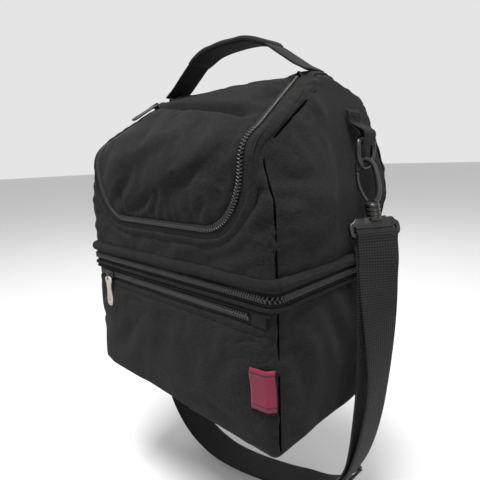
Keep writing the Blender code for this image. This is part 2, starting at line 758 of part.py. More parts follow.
def swivel_frame(side, sign):
    """Ribbed barrel over a frame that takes the webbing round its lower bar."""
    bm = bmesh.new()
    add_hung_column(bm, sign, 1.0, [(175.5, 6.2), (179, 6.6), (188.6, 6.6), (189.0, 6.2)])
    barrel = from_bmesh("swivel_frame_" + side, bm, "shoulder_strap", "moulded_plastic")
    bm = bmesh.new()
    add_hung_plate(bm, sign, 23.8, 2.1, 161.3, 177.5)
    boolean(barrel, cutter("join_frame_" + side, bm), "UNION")
    bm = bmesh.new()
    add_hung_plate(bm, sign, 20.6, 8.0, 164.7, 172.6)
    boolean(barrel, cutter("open_frame_" + side, bm), "DIFFERENCE")


# ---------------------------------------------------------------- shoulder strap
STRAP_RIGHT = [(153.8, 31.5, 143), (155, 29.5, 126), (158, 27, 98), (160, 25.5, 66),
               (160, 24, 34), (157, 21, 0), (151, 18, -32), (140, 18, -62), (122, 22, -89),
               (98, 28, -108), (68, 32, -120), (36, 33, -131)]
STRAP_LEFT = [(-16, 33, -143), (-62, 33, -146), (-104, 32, -132), (-136, 31, -98),
              (-152, 30, -46), (-160, 29, 14), (-160, 29, 70), (-157, 30, 112),
              (-153.8, 32, 143)]


ADJUSTER_Z = -84.0


def facing_of(turn, sign):
    """The direction square to the frame's plane, towards the bag."""
    return Vector((-math.sin(turn) * sign, math.cos(turn), 0.0))


def wrap_points(sign, radius=4.3):
    """The webbing's turn round the frame's lower bar, inner side to outer side."""
    centre = hang(sign, BAR_Z)
    back = facing_of(FRAME_TURN, sign)
    pts = [centre + back * radius + Vector((0, 0, -4.0))]
    for k in range(7):
        a = math.pi * k / 6
        pts.append(centre + back * (radius * math.cos(a)) + Vector((0, 0, radius * math.sin(a))))
    pts.append(centre - back * radius + Vector((0, 0, -5.0)))
    return pts


def strap_across(p):
    """The webbing's width direction: with the frames at the top, along y lower down."""
    blend = min(max((p.z - 20.0) / 130.0, 0.0), 1.0)
    blend = blend * blend * (3 - 2 * blend)
    turn = math.radians(90.0) + (FRAME_TURN - math.radians(90.0)) * blend
    sign = 1.0 if p.x > 0 else -1.0
    return Vector((sign * math.cos(turn), math.sin(turn), 0.0))


def shoulder_strap():
    run = smooth_path([wrap_points(1)[-1]] + STRAP_RIGHT + STRAP_LEFT + [wrap_points(-1)[-1]], 4)
    path = wrap_points(1)[:-1] + run + list(reversed(wrap_points(-1)[:-1]))
    bm = bmesh.new()
    add_ribbon(bm, path, [strap_across(p) for p in path], WEB / 2, WEB_T / 2)
    from_bmesh("strap_webbing", bm, "shoulder_strap", "webbing")


def strap_run_right():
    return smooth_path([wrap_points(1)[-1]] + STRAP_RIGHT + STRAP_LEFT[:1], 4)


def inner_layer_path():
    """The doubled layer, slack on the bag's side of the right leg down to the adjuster."""
    outer = [p for p in strap_run_right() if ADJUSTER_Z + 14 < p.z < BAR_Z - 6]
    path = []
    for i, p in enumerate(outer):
        run = (outer[min(i + 1, len(outer) - 1)] - outer[max(i - 1, 0)]).normalized()
        back = run.cross(strap_across(p)).normalized()
        back = back if back.x < 0 else -back
        top = max(0.0, (p.z - 130.0) / 27.0)
        slack = math.sin(math.pi * min(max((126.0 - p.z) / 170.0, 0.0), 1.0))
        path.append(p + back * (3.6 + 2.8 * top + 7.0 * slack))
    return path


def inner_layer():
    path = inner_layer_path()
    bm = bmesh.new()
    add_ribbon(bm, path, [strap_across(p) for p in path], WEB / 2, WEB_T / 2)
    from_bmesh("strap_inner_layer", bm, "shoulder_strap", "webbing")


def adjuster():
    """A three-bar slide: side rails outside the webbing, bars on both of its faces."""
    run_pts = strap_run_right()
    near = min(range(1, len(run_pts) - 1), key=lambda i: abs(run_pts[i].z - ADJUSTER_Z))
    mid = run_pts[near]
    run = (run_pts[near + 1] - run_pts[near - 1]).normalized()
    across = strap_across(mid)
    across = (across - run * across.dot(run)).normalized()
    back = run.cross(across)
    back = back if back.x < 0 else -back
    spin = Matrix((across, run, back)).transposed().to_4x4()
    bars = []
    for u in (-21.4, 21.4):
        bars.append(((u, 0, 0), (1.9, 12.0, 2.4)))
    for v, w in ((-10.0, -2.8), (10.0, -2.8)):
        bars.append(((0, v, w), (22.0, 2.0, 1.3)))
    bars.append(((0, 0, 2.9), (22.0, 2.4, 1.4)))
    first = None
    for k, (at, half) in enumerate(bars):
        bm = bmesh.new()
        place = (Matrix.Translation(world(mid + spin.to_3x3() @ Vector(at))) @ spin
                 @ Matrix.Diagonal((*[2 * h * 0.001 for h in half], 1.0)))
        bmesh.ops.create_cube(bm, size=1.0, matrix=place)
        if first is None:
            first = from_bmesh("strap_adjuster", bm, "shoulder_strap", "moulded_plastic")
        else:
            boolean(first, cutter("join_adjuster_%d" % k, bm), "UNION")


# ---------------------------------------------------------------- the whole bag
def make_materials():
    material("melange_fabric", (0.035, 0.036, 0.036), 0.9)
    material("foam", (0.75, 0.76, 0.76), 0.85)
    material("foil", (0.72, 0.73, 0.74), 0.35, 0.8)
    material("zip_tape", (0.028, 0.023, 0.022), 0.85)
    material("zip_teeth", (0.03, 0.024, 0.024), 0.45)
    material("zip_metal", (0.32, 0.28, 0.26), 0.4, 0.85)
    material("webbing", (0.022, 0.022, 0.023), 0.85)
    material("moulded_plastic", (0.02, 0.017, 0.016), 0.35)
    material("label_weave", (0.25, 0.015, 0.045), 0.8)


def make_bodies():
    body("lower_compartment", (0, 0, 0))
    body("upper_compartment", BELT_HINGE, "lower_compartment")
    body("lid", LID_HINGE, "upper_compartment")
    body("carry_handle", (0, RIDGE[0], RIDGE[1]), "upper_compartment")
    body("shoulder_strap", (0, RING_AT.y, RING_AT.z), "upper_compartment")
    for side, sign in (("right", 1), ("left", -1)):
        body("snap_gate_" + side, hook_space(sign, -2.6, 192.0), "shoulder_strap")
    body("pocket_slider", POCKET_SLIDER, "lower_compartment")
    body("pocket_pull", POCKET_PULL, "pocket_slider")
    body("lid_slider", LID_SLIDER, "upper_compartment")
    body("lid_pull", LID_SLIDER + LID_OUT * 2.7 + LID_RUN * 2.0, "lid_slider")
    body("belt_slider", BELT_SLIDER, "lower_compartment")
    body("belt_pull", BELT_SLIDER + Vector((-2.9, 0, -1.5)), "belt_slider")


def build():
    make_materials()
    make_bodies()
    lower_compartment()
    front_pocket()
    main_zip()
    upper_shell()
    upper_foam()
    lid()
    sliders()
    carry_handle()
    for side, sign in (("right", 1), ("left", -1)):
        d_ring("d_ring_" + side, sign)
        strap_tab("strap_tab_" + side, sign)
        snap_hook(side, sign)
        swivel_frame(side, sign)
    shoulder_strap()
    inner_layer()
    adjuster()


build()
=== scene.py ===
"""The looks of the insulated cooler bag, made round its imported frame.

Shapes are drawn in millimetres from the middle of the base: x to the right, y to the back,
z up.  world() carries them into the frame.  A panel is a grid of points on the bag's outer
form.  Its creases are pressed in, a cloth simulation slackens it, its seams are laid flat
again, and the upper compartment's soft corners slump.
"""
import json
import math

import bmesh
import bpy
import numpy as np
from mathutils import Matrix, Vector
from mathutils.bvhtree import BVHTree

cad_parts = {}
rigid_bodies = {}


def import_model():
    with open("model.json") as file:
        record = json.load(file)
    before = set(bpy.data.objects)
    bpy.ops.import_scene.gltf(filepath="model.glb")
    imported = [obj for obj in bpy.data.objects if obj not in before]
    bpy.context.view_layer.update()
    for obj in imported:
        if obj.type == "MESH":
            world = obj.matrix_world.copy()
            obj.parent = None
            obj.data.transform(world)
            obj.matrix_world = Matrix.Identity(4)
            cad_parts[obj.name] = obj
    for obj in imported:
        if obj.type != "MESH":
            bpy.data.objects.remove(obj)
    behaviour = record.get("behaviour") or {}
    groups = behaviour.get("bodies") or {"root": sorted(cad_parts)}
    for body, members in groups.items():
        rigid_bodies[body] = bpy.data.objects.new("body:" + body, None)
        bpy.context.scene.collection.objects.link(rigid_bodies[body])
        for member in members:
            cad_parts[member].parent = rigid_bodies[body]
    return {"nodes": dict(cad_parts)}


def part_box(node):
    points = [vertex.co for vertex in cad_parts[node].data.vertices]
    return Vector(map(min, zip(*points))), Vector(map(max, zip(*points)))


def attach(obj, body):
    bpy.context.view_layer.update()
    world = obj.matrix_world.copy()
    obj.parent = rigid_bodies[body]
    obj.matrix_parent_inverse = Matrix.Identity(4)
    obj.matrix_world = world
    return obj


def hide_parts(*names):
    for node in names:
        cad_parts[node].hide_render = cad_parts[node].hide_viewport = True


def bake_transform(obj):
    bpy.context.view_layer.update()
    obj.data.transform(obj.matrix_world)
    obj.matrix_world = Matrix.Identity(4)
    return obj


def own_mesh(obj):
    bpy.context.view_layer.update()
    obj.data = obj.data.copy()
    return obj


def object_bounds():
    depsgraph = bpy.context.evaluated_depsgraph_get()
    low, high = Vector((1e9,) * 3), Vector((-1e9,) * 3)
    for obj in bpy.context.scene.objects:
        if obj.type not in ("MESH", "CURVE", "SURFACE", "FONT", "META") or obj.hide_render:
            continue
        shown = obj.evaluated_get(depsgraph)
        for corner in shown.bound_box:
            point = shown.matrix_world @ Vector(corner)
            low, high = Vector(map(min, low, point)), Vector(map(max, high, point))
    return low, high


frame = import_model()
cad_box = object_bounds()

# ------------------------------------------------------------ driving sizes, mm
MM = 0.001
BASE_LO, BASE_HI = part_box("lower_base_skin")
ORIGIN = Vector(((BASE_LO.x + BASE_HI.x) / 2, (BASE_LO.y + BASE_HI.y) / 2, BASE_LO.z))
HALF_W = (BASE_HI.x - BASE_LO.x) / 2 / MM
HALF_D = (BASE_HI.y - BASE_LO.y) / 2 / MM
BELT_Z = 131.0
SHOULDER_Z = 241.0
RIDGE = (20.0, 303.0)
BACK_TOP_Z = 283.0
LEAN_Z = 200.0
TOP_HALF_W = 112.0
CORNER = 6.0
STEP = 4.0              # spacing of the fabric grids
FABRIC = 1.0            # thickness of the outer fabric
WEB = 38.0
HANDLE_W = 28.0
RING_AT = Vector((135.0, 40.0, 233.0))
RING_R = 13.0
BAR_Z = 163.0
HANG = Vector((0.225, -0.078))
HOOK_TURN = math.radians(30.0)
FRAME_TURN = math.radians(60.0)
SIDES = (("right", 1), ("left", -1))
LOW, UP, LID = "lower_compartment", "upper_compartment", "lid"


def world(p):
    """Bag millimetres to the frame's metres."""
    return ORIGIN + Vector(p) * MM


def ease(t):
    """0 to 1 with soft ends."""
    t = min(max(t, 0.0), 1.0)
    return t * t * (3 - 2 * t)


# ------------------------------------------------------------ mesh building
def mesh_object(name, points, faces, corner_uvs=None, smooth=True):
    """A mesh from points in mm; corner_uvs has one (along, across) in metres per corner."""
    mesh = bpy.data.meshes.new(name)
    mesh.from_pydata([world(p) for p in points], [], faces)
    if corner_uvs:
        layer = mesh.uv_layers.new(name="weave")
        layer.data.foreach_set("uv", [c * MM for uv in corner_uvs for c in uv])
    if smooth:
        mesh.shade_smooth()
    obj = bpy.data.objects.new(name, mesh)
    bpy.context.scene.collection.objects.link(obj)
    return obj


def running(points):
    """Distance along a row of points, starting at 0."""
    out = [0.0]
    for a, b in zip(points, points[1:]):
        out.append(out[-1] + (Vector(b) - Vector(a)).length)
    return out


def grid(name, rows, closed=False, cap=False, keep=None):
    """A sheet over rows of points; closed joins each row's end to its start."""
    n = len(rows[0])
    mid = rows[len(rows) // 2]
    across = running(list(mid) + ([mid[0]] if closed else []))
    along = running([row[0] for row in rows])
    faces, uvs = [], []
    for r in range(len(rows) - 1):
        for c in range(n if closed else n - 1):
            d = (c + 1) % n
            if keep and not keep(r, c):
                continue
            faces.append((r * n + c, r * n + d, (r + 1) * n + d, (r + 1) * n + c))
            uvs += [(along[r], across[c]), (along[r], across[c + 1]),
                    (along[r + 1], across[c + 1]), (along[r + 1], across[c])]
    if cap:
        last = (len(rows) - 1) * n
        faces += [tuple(reversed(range(n))), tuple(range(last, last + n))]
        uvs += [(0.0, 0.0)] * (2 * n)
    return mesh_object(name, [p for row in rows for p in row], faces, uvs)


def lattice(us, vs, point):
    """Rows of point(u, v), one row for each u."""
    return [[point(u, v) for v in vs] for u in us]


def steps(low, high, count):
    """count even steps from low to high, both ends included."""
    return [low + (high - low) * k / count for k in range(count + 1)]


def drop_loose(obj):
    """Delete the points that no face uses."""
    bm = bmesh.new()
    bm.from_mesh(obj.data)
    bmesh.ops.delete(bm, geom=[v for v in bm.verts if not v.link_faces], context="VERTS")
    bm.to_mesh(obj.data)
    bm.free()


def face_out(obj):
    """Make the faces agree, and point out of a closed shape."""
    bm = bmesh.new()
    bm.from_mesh(obj.data)
    bmesh.ops.recalc_face_normals(bm, faces=bm.faces)
    bm.to_mesh(obj.data)
    bm.free()
    return obj


def sharpen(obj, degrees):
    obj.data.shade_smooth()
    obj.data.set_sharp_from_angle(angle=math.radians(degrees))
    return obj


def thicken(obj, thickness=FABRIC, offset=-1.0):
    """Give a sheet thickness; offset -1 adds it on the back, 0 on both sides."""
    mod = obj.modifiers.new("thickness", "SOLIDIFY")
    mod.thickness = thickness * MM
    mod.offset = offset
    return obj


def subdivide(obj):
    mod = obj.modifiers.new("smooth", "SUBSURF")
    mod.levels = mod.render_levels = 1
    return obj


def join(objs, name):
    """Several meshes as one object."""
    points, faces, uvs, start = [], [], [], 0
    for obj in objs:
        mesh = obj.data
        points += [(v.co - ORIGIN) / MM for v in mesh.vertices]
        faces += [tuple(start + i for i in p.vertices) for p in mesh.polygons]
        layer = mesh.uv_layers.active
        uvs += [tuple(d.uv / MM) for d in layer.data] if layer else [(0, 0)] * len(mesh.loops)
        start += len(mesh.vertices)
        bpy.data.objects.remove(obj)
    return mesh_object(name, points, faces, uvs)


def spline(points, per_span):
    """Points on a Catmull-Rom curve through the given ones."""
    pts = [Vector(p) for p in points]
    ends = [pts[0] * 2 - pts[1]] + pts + [pts[-1] * 2 - pts[-2]]
    out = []
    for i in range(1, len(ends) - 2):
        a, b, c, d = ends[i - 1:i + 3]
        for k in range(per_span):
            t = k / per_span
            out.append(0.5 * (2 * b + (c - a) * t + (2 * a - 5 * b + 4 * c - d) * t * t
                              + (3 * b - a - 3 * c + d) * t ** 3))
    out.append(pts[-1])
    return out


def resample(points, step):
    """Points an even step apart along a polyline."""
    pts = [Vector(p) for p in points]
    dist = running(pts)
    count = max(2, round(dist[-1] / step))
    out, i = [], 0
    for k in range(count + 1):
        d = dist[-1] * k / count
        while i < len(pts) - 2 and dist[i + 1] < d:
            i += 1
        t = (d - dist[i]) / max(dist[i + 1] - dist[i], 1e-9)
        out.append(pts[i].lerp(pts[i + 1], t))
    return out


def directions(path):
    """The unit run at each point of a path."""
    last = len(path) - 1
    return [(path[min(i + 1, last)] - path[max(i - 1, 0)]).normalized()
            for i in range(last + 1)]


def sweep(name, path, across, section, out=None, closed_section=True, cap=True):
    """A (width, lift) section carried along a path; across gives the width direction."""
    rows = []
    for i, run in enumerate(directions(path)):
        side = (across[i] - run * across[i].dot(run)).normalized()
        up = out[i] if out else run.cross(side)
        rows.append([path[i] + side * u + up * v for u, v in section])
    obj = grid(name, rows, closed=closed_section, cap=cap and closed_section)
    return face_out(obj) if closed_section else obj


def rounded_box_section(half_w, half_t, radius, steps=3):
    """A rounded rectangle as (width, lift) points."""
    pts = []
    for cx, cy, a0 in ((half_w - radius, half_t - radius, 0),
                       (-half_w + radius, half_t - radius, 90),
                       (-half_w + radius, -half_t + radius, 180),
                       (half_w - radius, -half_t + radius, 270)):
        for k in range(steps + 1):
            a = math.radians(a0 + 90 * k / steps)
            pts.append((cx + radius * math.cos(a), cy + radius * math.sin(a)))
    return pts


def circle(radius, sides=12):
    return [(radius * math.cos(2 * math.pi * k / sides),
             radius * math.sin(2 * math.pi * k / sides)) for k in range(sides)]


def tube(name, path, radius, sides=12, flat=1.0, across=None):
    """A round bar; radius may be a list, one for each point."""
    runs = directions(path)
    if across is None:
        side = runs[0].orthogonal()
        across = []
        for run in runs:
            side = side - run * side.dot(run)
            across.append(side.copy())
    radii = radius if isinstance(radius, list) else [radius] * len(path)
    rows = []
    for p, run, side, r in zip(path, runs, across, radii):
        side = (side - run * side.dot(run)).normalized()
        up = run.cross(side)
        rows.append([p + side * u * r + up * v * r * flat for u, v in circle(1.0, sides)])
    return face_out(grid(name, rows, closed=True, cap=True))


# ------------------------------------------------------------ materials
def node(tree, kind, inputs=(), **props):
    made = tree.nodes.new(kind)
    for key, value in props.items():
        setattr(made, key, value)
    for key, value in dict(inputs).items():
        if isinstance(value, bpy.types.NodeSocket):
            tree.links.new(value, made.inputs[key])
        else:
            made.inputs[key].default_value = value
    return made


def maths(tree, operation, a, b=0.0):
    return node(tree, "ShaderNodeMath", {0: a, 1: b}, operation=operation).outputs[0]


def mixed_sum(tree, *terms):
    """The sum of (value, share) terms, from the left."""
    total = None
    for value, share in terms:
        term = value if share == 1 else maths(tree, "MULTIPLY", value, share)
        total = term if total is None else maths(tree, "ADD", total, term)
    return total


def object_coords(tree):
    return node(tree, "ShaderNodeTexCoord").outputs["Object"]


def split(tree, vector):
    return node(tree, "ShaderNodeSeparateXYZ", {0: vector}).outputs


def round_the_bag(tree, coord):
    """Lengths round the bag and up it, which slide along every face alike."""
    parts = split(tree, coord)
    return (mixed_sum(tree, (parts[0], 1), (parts[1], 1)),
            mixed_sum(tree, (parts[2], 1), (parts[1], 0.6)))


def grey(value, warm=(1.0, 1.0, 1.0)):
    return tuple(value * share for share in warm)


def ramp(tree, value, stops):
    made = node(tree, "ShaderNodeValToRGB", {"Fac": value})
    points = made.color_ramp.elements
    while len(points) < len(stops):
        points.new(0.5)
    for point, (at, rgb) in zip(points, stops):
        point.position = at
        point.color = (*rgb, 1.0)
    return made.outputs["Color"]


def noise(tree, where, scale, detail=3.0, rough=0.55):
    return node(tree, "ShaderNodeTexNoise", {"Vector": where, "Scale": scale,
                                             "Detail": detail, "Roughness": rough}
                ).outputs["Fac"]


def bump(tree, height, distance, below=None):
    made = node(tree, "ShaderNodeBump", {"Height": height, "Distance": distance,
                                         "Strength": 1.0})
    if below:
        tree.links.new(below, made.inputs["Normal"])
    return made.outputs["Normal"]


def waves(tree, value, pitch):
    """A sine of a length in metres, from 0 to 1; the pitch is in mm."""
    turn = maths(tree, "MULTIPLY", value, 2 * math.pi / (pitch * MM))
    half = maths(tree, "MULTIPLY", maths(tree, "SINE", turn), 0.5)
    return maths(tree, "ADD", half, 0.5)


def new_material(name):
    mat = bpy.data.materials.new(name)
    mat.use_nodes = True
    return mat, mat.node_tree


def finish_material(mat, colour, normal, rough, **sockets):
    tree = mat.node_tree
    shader = tree.nodes["Principled BSDF"]
    tree.links.new(colour, shader.inputs["Base Color"])
    tree.links.new(normal, shader.inputs["Normal"])
    if isinstance(rough, bpy.types.NodeSocket):
        tree.links.new(rough, shader.inputs["Roughness"])
    else:
        shader.inputs["Roughness"].default_value = rough
    for key, value in sockets.items():
        shader.inputs[key.replace("_", " ")].default_value = value
    return mat


def melange_fabric(name="melange_fabric", dark=0.5, twill=1.1):
    """Charcoal woven polyester: light and dark yarns, a fine twill, soft creasing."""
    mat, tree = new_material(name)
    coord = object_coords(tree)
    u, v = round_the_bag(tree, coord)
    diagonal = waves(tree, maths(tree, "ADD", u, v), twill)
    yarn_at = node(tree, "ShaderNodeCombineXYZ", {0: maths(tree, "MULTIPLY", u, 2.6), 1: v})
    yarn = noise(tree, yarn_at.outputs[0], 620.0, 2.0, 0.7)
    slub = noise(tree, coord, 230.0, 3.0, 0.6)
    patch = noise(tree, coord, 22.0, 3.0, 0.5)
    shade = mixed_sum(tree, (yarn, 0.82), (slub, 0.20), (patch, 0.04), (diagonal, 0.05))
    colour = ramp(tree, shade, [(0.38, grey(0.006 * dark, (1.0, 0.98, 0.95))),
                                (0.58, grey(0.0165 * dark, (1.0, 0.985, 0.96))),
                                (0.80, grey(0.062 * dark, (1.0, 0.99, 0.97)))])
    weave = mixed_sum(tree, (diagonal, 0.5), (yarn, 1))
    normal = bump(tree, weave, 0.00028, bump(tree, patch, 0.0003))
    return finish_material(mat, colour, normal, 0.85, Sheen_Weight=0.02,
                           Sheen_Roughness=0.5, Specular_IOR_Level=0.09)


def ribbed(name, rgb, pitch_along, pitch_across, depth, rough=0.8, groove_shade=0.55):
    """Woven tape or webbing: ribs along and across its own length, with painted shade in the
    grooves between them.
    """
    mat, tree = new_material(name)
    coord = object_coords(tree)
    parts = split(tree, node(tree, "ShaderNodeUVMap", uv_map="weave").outputs[0])
    along, across = waves(tree, parts[0], pitch_along), waves(tree, parts[1], pitch_across)
    fuzz = noise(tree, coord, 700.0, 2.0, 0.6)
    wear = noise(tree, coord, 35.0, 3.0, 0.5)
    height = mixed_sum(tree, (along, 0.5), (across, 0.5))
    # The rib height tints the colour too: painted shade in the grooves, lighter on the crowns.
    shade = mixed_sum(tree, (height, groove_shade), (fuzz, 0.45), (wear, 0.25))
    colour = ramp(tree, shade, [(0.30, grey(0.45, rgb)), (0.60, rgb), (0.95, grey(1.9, rgb))])
    normal = bump(tree, mixed_sum(tree, (height, 1), (fuzz, 0.25)), depth)
    return finish_material(mat, colour, normal, rough, Sheen_Weight=0.015,
                           Specular_IOR_Level=0.14)


def moulded(name, rgb, rough, grain, metallic=0.0, worn=None):
    """Moulded plastic or cast metal with faint grain and rubbed patches."""
    mat, tree = new_material(name)
    coord = object_coords(tree)
    fine = noise(tree, coord, 900.0, 2.0, 0.6)
    broad = noise(tree, coord, 120.0, 4.0, 0.6)
    shade = mixed_sum(tree, (fine, 0.4), (broad, 0.6))
    colour = ramp(tree, shade, [(0.35, grey(0.75, rgb)), (0.55, rgb),
                                (0.75, worn or grey(1.8, rgb))])
    gloss = ramp(tree, broad, [(0.3, grey(rough * 0.8)), (0.7, grey(min(rough * 1.35, 1.0)))])
    return finish_material(mat, colour, bump(tree, shade, grain), gloss, Metallic=metallic)


def foil_lining():
    """Silvered film over foam, heat-quilted and finely crinkled."""
    mat, tree = new_material("foil_lining")
    coord = object_coords(tree)
    u, v = round_the_bag(tree, coord)
    quilt = maths(tree, "MULTIPLY", waves(tree, maths(tree, "ADD", u, v), 24.0),
                  waves(tree, maths(tree, "SUBTRACT", u, v), 24.0))
    crinkle = noise(tree, coord, 160.0, 4.0, 0.65)
    colour = ramp(tree, crinkle, [(0.3, (0.48, 0.49, 0.50)), (0.7, (0.78, 0.79, 0.80))])
    normal = bump(tree, crinkle, 0.0012, bump(tree, quilt, 0.0012))
    return finish_material(mat, colour, normal, 0.33, Metallic=0.85)


def seam_shadow():
    """Painted shadow for the depth of a seam: near black, matt, without a highlight."""
    mat, tree = new_material("seam_shadow")
    grain = noise(tree, object_coords(tree), 500.0)
    colour = ramp(tree, grain, [(0.3, grey(0.0006)), (0.7, (0.0016, 0.0015, 0.0015))])
    return finish_material(mat, colour, bump(tree, grain, 0.0001), 1.0,
                           Specular_IOR_Level=0.0)


def foam_material():
    """Closed-cell foam board."""
    mat, tree = new_material("foam_board")
    cells = node(tree, "ShaderNodeTexVoronoi", {"Vector": object_coords(tree), "Scale": 900.0}
                 ).outputs["Distance"]
    colour = ramp(tree, cells, [(0.0, grey(0.030)), (0.6, grey(0.045))])
    return finish_material(mat, colour, bump(tree, cells, 0.0003), 0.85)


LABEL_STRIPE = (3.0, 4.4)      # a stripe's edges, in mm from each end of the label


def label_weave():
    """A plain woven satin label: crimson, with a dark stripe across each end."""
    mat, tree = new_material("label_weave")
    parts = split(tree, node(tree, "ShaderNodeUVMap", uv_map="weave").outputs[0])
    lo, hi = box_mm("side_label")
    near, far = LABEL_STRIPE
    fuzz = noise(tree, object_coords(tree), 800.0, 2.0, 0.6)
    worn = mixed_sum(tree, (waves(tree, parts[1], 0.9), 0.35), (fuzz, 1))
    look = ramp(tree, worn, [(0.3, (0.090, 0.004, 0.014)), (0.9, (0.155, 0.009, 0.027))])
    for low, high in ((near, far), (hi.z - lo.z - far, hi.z - lo.z - near)):
        mask = maths(tree, "SUBTRACT", maths(tree, "GREATER_THAN", parts[0], low * MM),
                     maths(tree, "GREATER_THAN", parts[0], high * MM))
        look = node(tree, "ShaderNodeMix", {0: mask, 6: look, 7: (0.030, 0.008, 0.014, 1.0)},
                    data_type="RGBA").outputs[2]
    return finish_material(mat, look, bump(tree, worn, 0.00015), 0.6, Sheen_Weight=0.05,
                           Specular_IOR_Level=0.2)


MATERIALS = {}


def make_materials():
    MATERIALS.update(
        fabric=melange_fabric(),
        trim=melange_fabric("belt_fabric", dark=0.46, twill=0.9),
        # the last number of each ribbed look is its share of painted shade in the rib grooves
        tape=ribbed("zip_tape", (0.0075, 0.0066, 0.0063), 1.1, 2.4, 0.00016, 0.85, 0.5),
        coil=moulded("zip_coil", (0.0100, 0.0090, 0.0086), 0.44, 0.00006),
        webbing=ribbed("webbing", (0.0060, 0.0058, 0.0057), 2.3, 2.6, 0.0007, 0.72, 0.85),
        handle=ribbed("handle_webbing", (0.0065, 0.0063, 0.0062), 1.8, 2.1, 0.0004, 0.8, 0.7),
        thread=ribbed("thread", (0.012, 0.0115, 0.011), 0.5, 0.5, 0.00008, 0.7, 0.3),
        plastic=moulded("moulded_plastic", (0.0085, 0.0075, 0.007), 0.30, 0.00006),
        metal=moulded("zip_metal", (0.035, 0.032, 0.031), 0.36, 0.00006, 0.85,
                      worn=(0.12, 0.11, 0.105)),
        pull=moulded("pull_metal", (0.40, 0.345, 0.32), 0.5, 0.00012, 0.3,
                     worn=(0.52, 0.46, 0.43)),
        # near-black matt material: painted shadow for the seams' grooves
        gap=seam_shadow(),
        foil=foil_lining(), foam=foam_material(), label=label_weave())


def piece(obj, look, body, replaces=()):
    """Give a piece its material and body, and hide the CAD nodes it stands for."""
    obj.data.materials.clear()
    obj.data.materials.append(MATERIALS[look])
    if body:
        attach(obj, body)
    if replaces:
        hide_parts(*replaces)
    return obj


# ------------------------------------------------------------ camera, light, floor
CAMERA_AT = Vector((314.2, -295.8, 230.7))
CAMERA_RIGHT = Vector((0.7133, 0.6999, -0.0366))
CAMERA_AHEAD = Vector((-0.6925, 0.6958, -0.1906))
LENS = 31.46
SENSOR = 36.0
FLOOR_GREY = 0.62
FLOOR_DROP = 0.012      # metres below the lowest point of the strap
SKY = 0.78
LIGHT_AIM = (0.0, 0.0, -0.15)
# name, place and edge in metres, watts
LIGHTS = (("key", (0.30, -0.62, 1.50), 0.6, 62.0),
          ("fill", (1.6, -0.7, 0.6), 0.9, 7.0),
          ("rim", (-0.9, 1.2, 0.9), 1.2, 3.0))


def make_camera():
    data = bpy.data.cameras.new("camera")
    data.lens = LENS
    data.sensor_width = SENSOR
    data.clip_start = 0.02
    cam = bpy.data.objects.new("camera", data)
    bpy.context.scene.collection.objects.link(cam)
    up = CAMERA_RIGHT.cross(CAMERA_AHEAD).normalized()
    turn = Matrix((CAMERA_RIGHT, up, -CAMERA_AHEAD)).transposed().to_4x4()
    cam.matrix_world = Matrix.Translation(world(CAMERA_AT)) @ turn
    bpy.context.scene.camera = cam


def area_light(name, at, size, power):
    data = bpy.data.lights.new(name, "AREA")
    data.size = size
    data.energy = power
    light = bpy.data.objects.new(name, data)
    bpy.context.scene.collection.objects.link(light)
    light.location = at
    aim = Vector(LIGHT_AIM) - Vector(at)
    light.rotation_euler = aim.to_track_quat("-Z", "Y").to_euler()


def make_stage():
    bpy.ops.mesh.primitive_plane_add(size=30.0,
                                     location=(0.0, 0.0, cad_box[0][2] - FLOOR_DROP))
    floor = bpy.context.object
    floor.name = "floor"
    mat, tree = new_material("floor")
    shader = tree.nodes["Principled BSDF"]
    shader.inputs["Base Color"].default_value = (*grey(FLOOR_GREY), 1.0)
    shader.inputs["Roughness"].default_value = 0.9
    floor.data.materials.append(mat)
    scene = bpy.context.scene
    scene.world = bpy.data.worlds.new("studio")
    scene.world.use_nodes = True
    back = scene.world.node_tree.nodes["Background"]
    back.inputs["Color"].default_value = (1.0, 1.0, 1.0, 1.0)
    back.inputs["Strength"].default_value = SKY
    for light in LIGHTS:
        area_light(*light)
    scene.view_settings.view_transform = "Standard"


# ------------------------------------------------------------ shoulder strap
STRAP_RIGHT = [(153.8, 31.5, 143), (155, 29.5, 126), (158, 27, 98), (160, 25.5, 66),
               (160, 24, 34), (157, 21, 0), (151, 18, -32), (140, 18, -62), (122, 22, -89),
               (98, 28, -108), (68, 32, -120), (36, 33, -131)]
STRAP_LEFT = [(-16, 33, -143), (-62, 33, -146), (-104, 32, -132), (-136, 31, -98),
              (-152, 30, -46), (-160, 29, 14), (-160, 29, 70), (-157, 30, 112),
              (-153.8, 32, 143)]
ADJUSTER_Z = -84.0


def hang(sign, z):
    """The point of a hook's leaning centre line at height z."""
    drop = RING_AT.z - RING_R - z
    return Vector((sign * (RING_AT.x + HANG.x * drop), RING_AT.y + HANG.y * drop, z))


def wrap_points(sign, radius=4.3):
    """The webbing's turn round the frame's lower bar, inner side to outer side."""
    centre = hang(sign, BAR_Z)
    back = Vector((-math.sin(FRAME_TURN) * sign, math.cos(FRAME_TURN), 0.0))
    pts = [centre + back * radius + Vector((0, 0, -14.0)),
           centre + back * radius + Vector((0, 0, -4.0))]
    for k in range(9):
        a = math.pi * k / 8
        pts.append(centre + back * (radius * math.cos(a)) + Vector((0, 0, radius * math.sin(a))))
    pts.append(centre - back * radius + Vector((0, 0, -5.0)))
    return pts


def strap_across(p):
    """The webbing's width direction, which turns from the frame to straight ahead."""
    blend = ease((p.z - 20.0) / 130.0)
    turn = math.radians(90.0) + (FRAME_TURN - math.radians(90.0)) * blend
    sign = 1.0 if p.x > 0 else -1.0
    return Vector((sign * math.cos(turn), math.sin(turn), 0.0))


def strap_run():
    """The webbing's path between the two frames."""
    return spline([wrap_points(1)[-1]] + STRAP_RIGHT + STRAP_LEFT + [wrap_points(-1)[-1]], 6)


def web_section(width, thick):
    """A webbing's section: flat, with thin rounded edges."""
    half = width / 2
    pts = []
    for k in range(13):
        u = -half + width * k / 12
        pts.append((u, thick / 2 * (1.0 - 0.35 * abs(u / half) ** 6)))
    return pts + [(u, -v) for u, v in reversed(pts)]


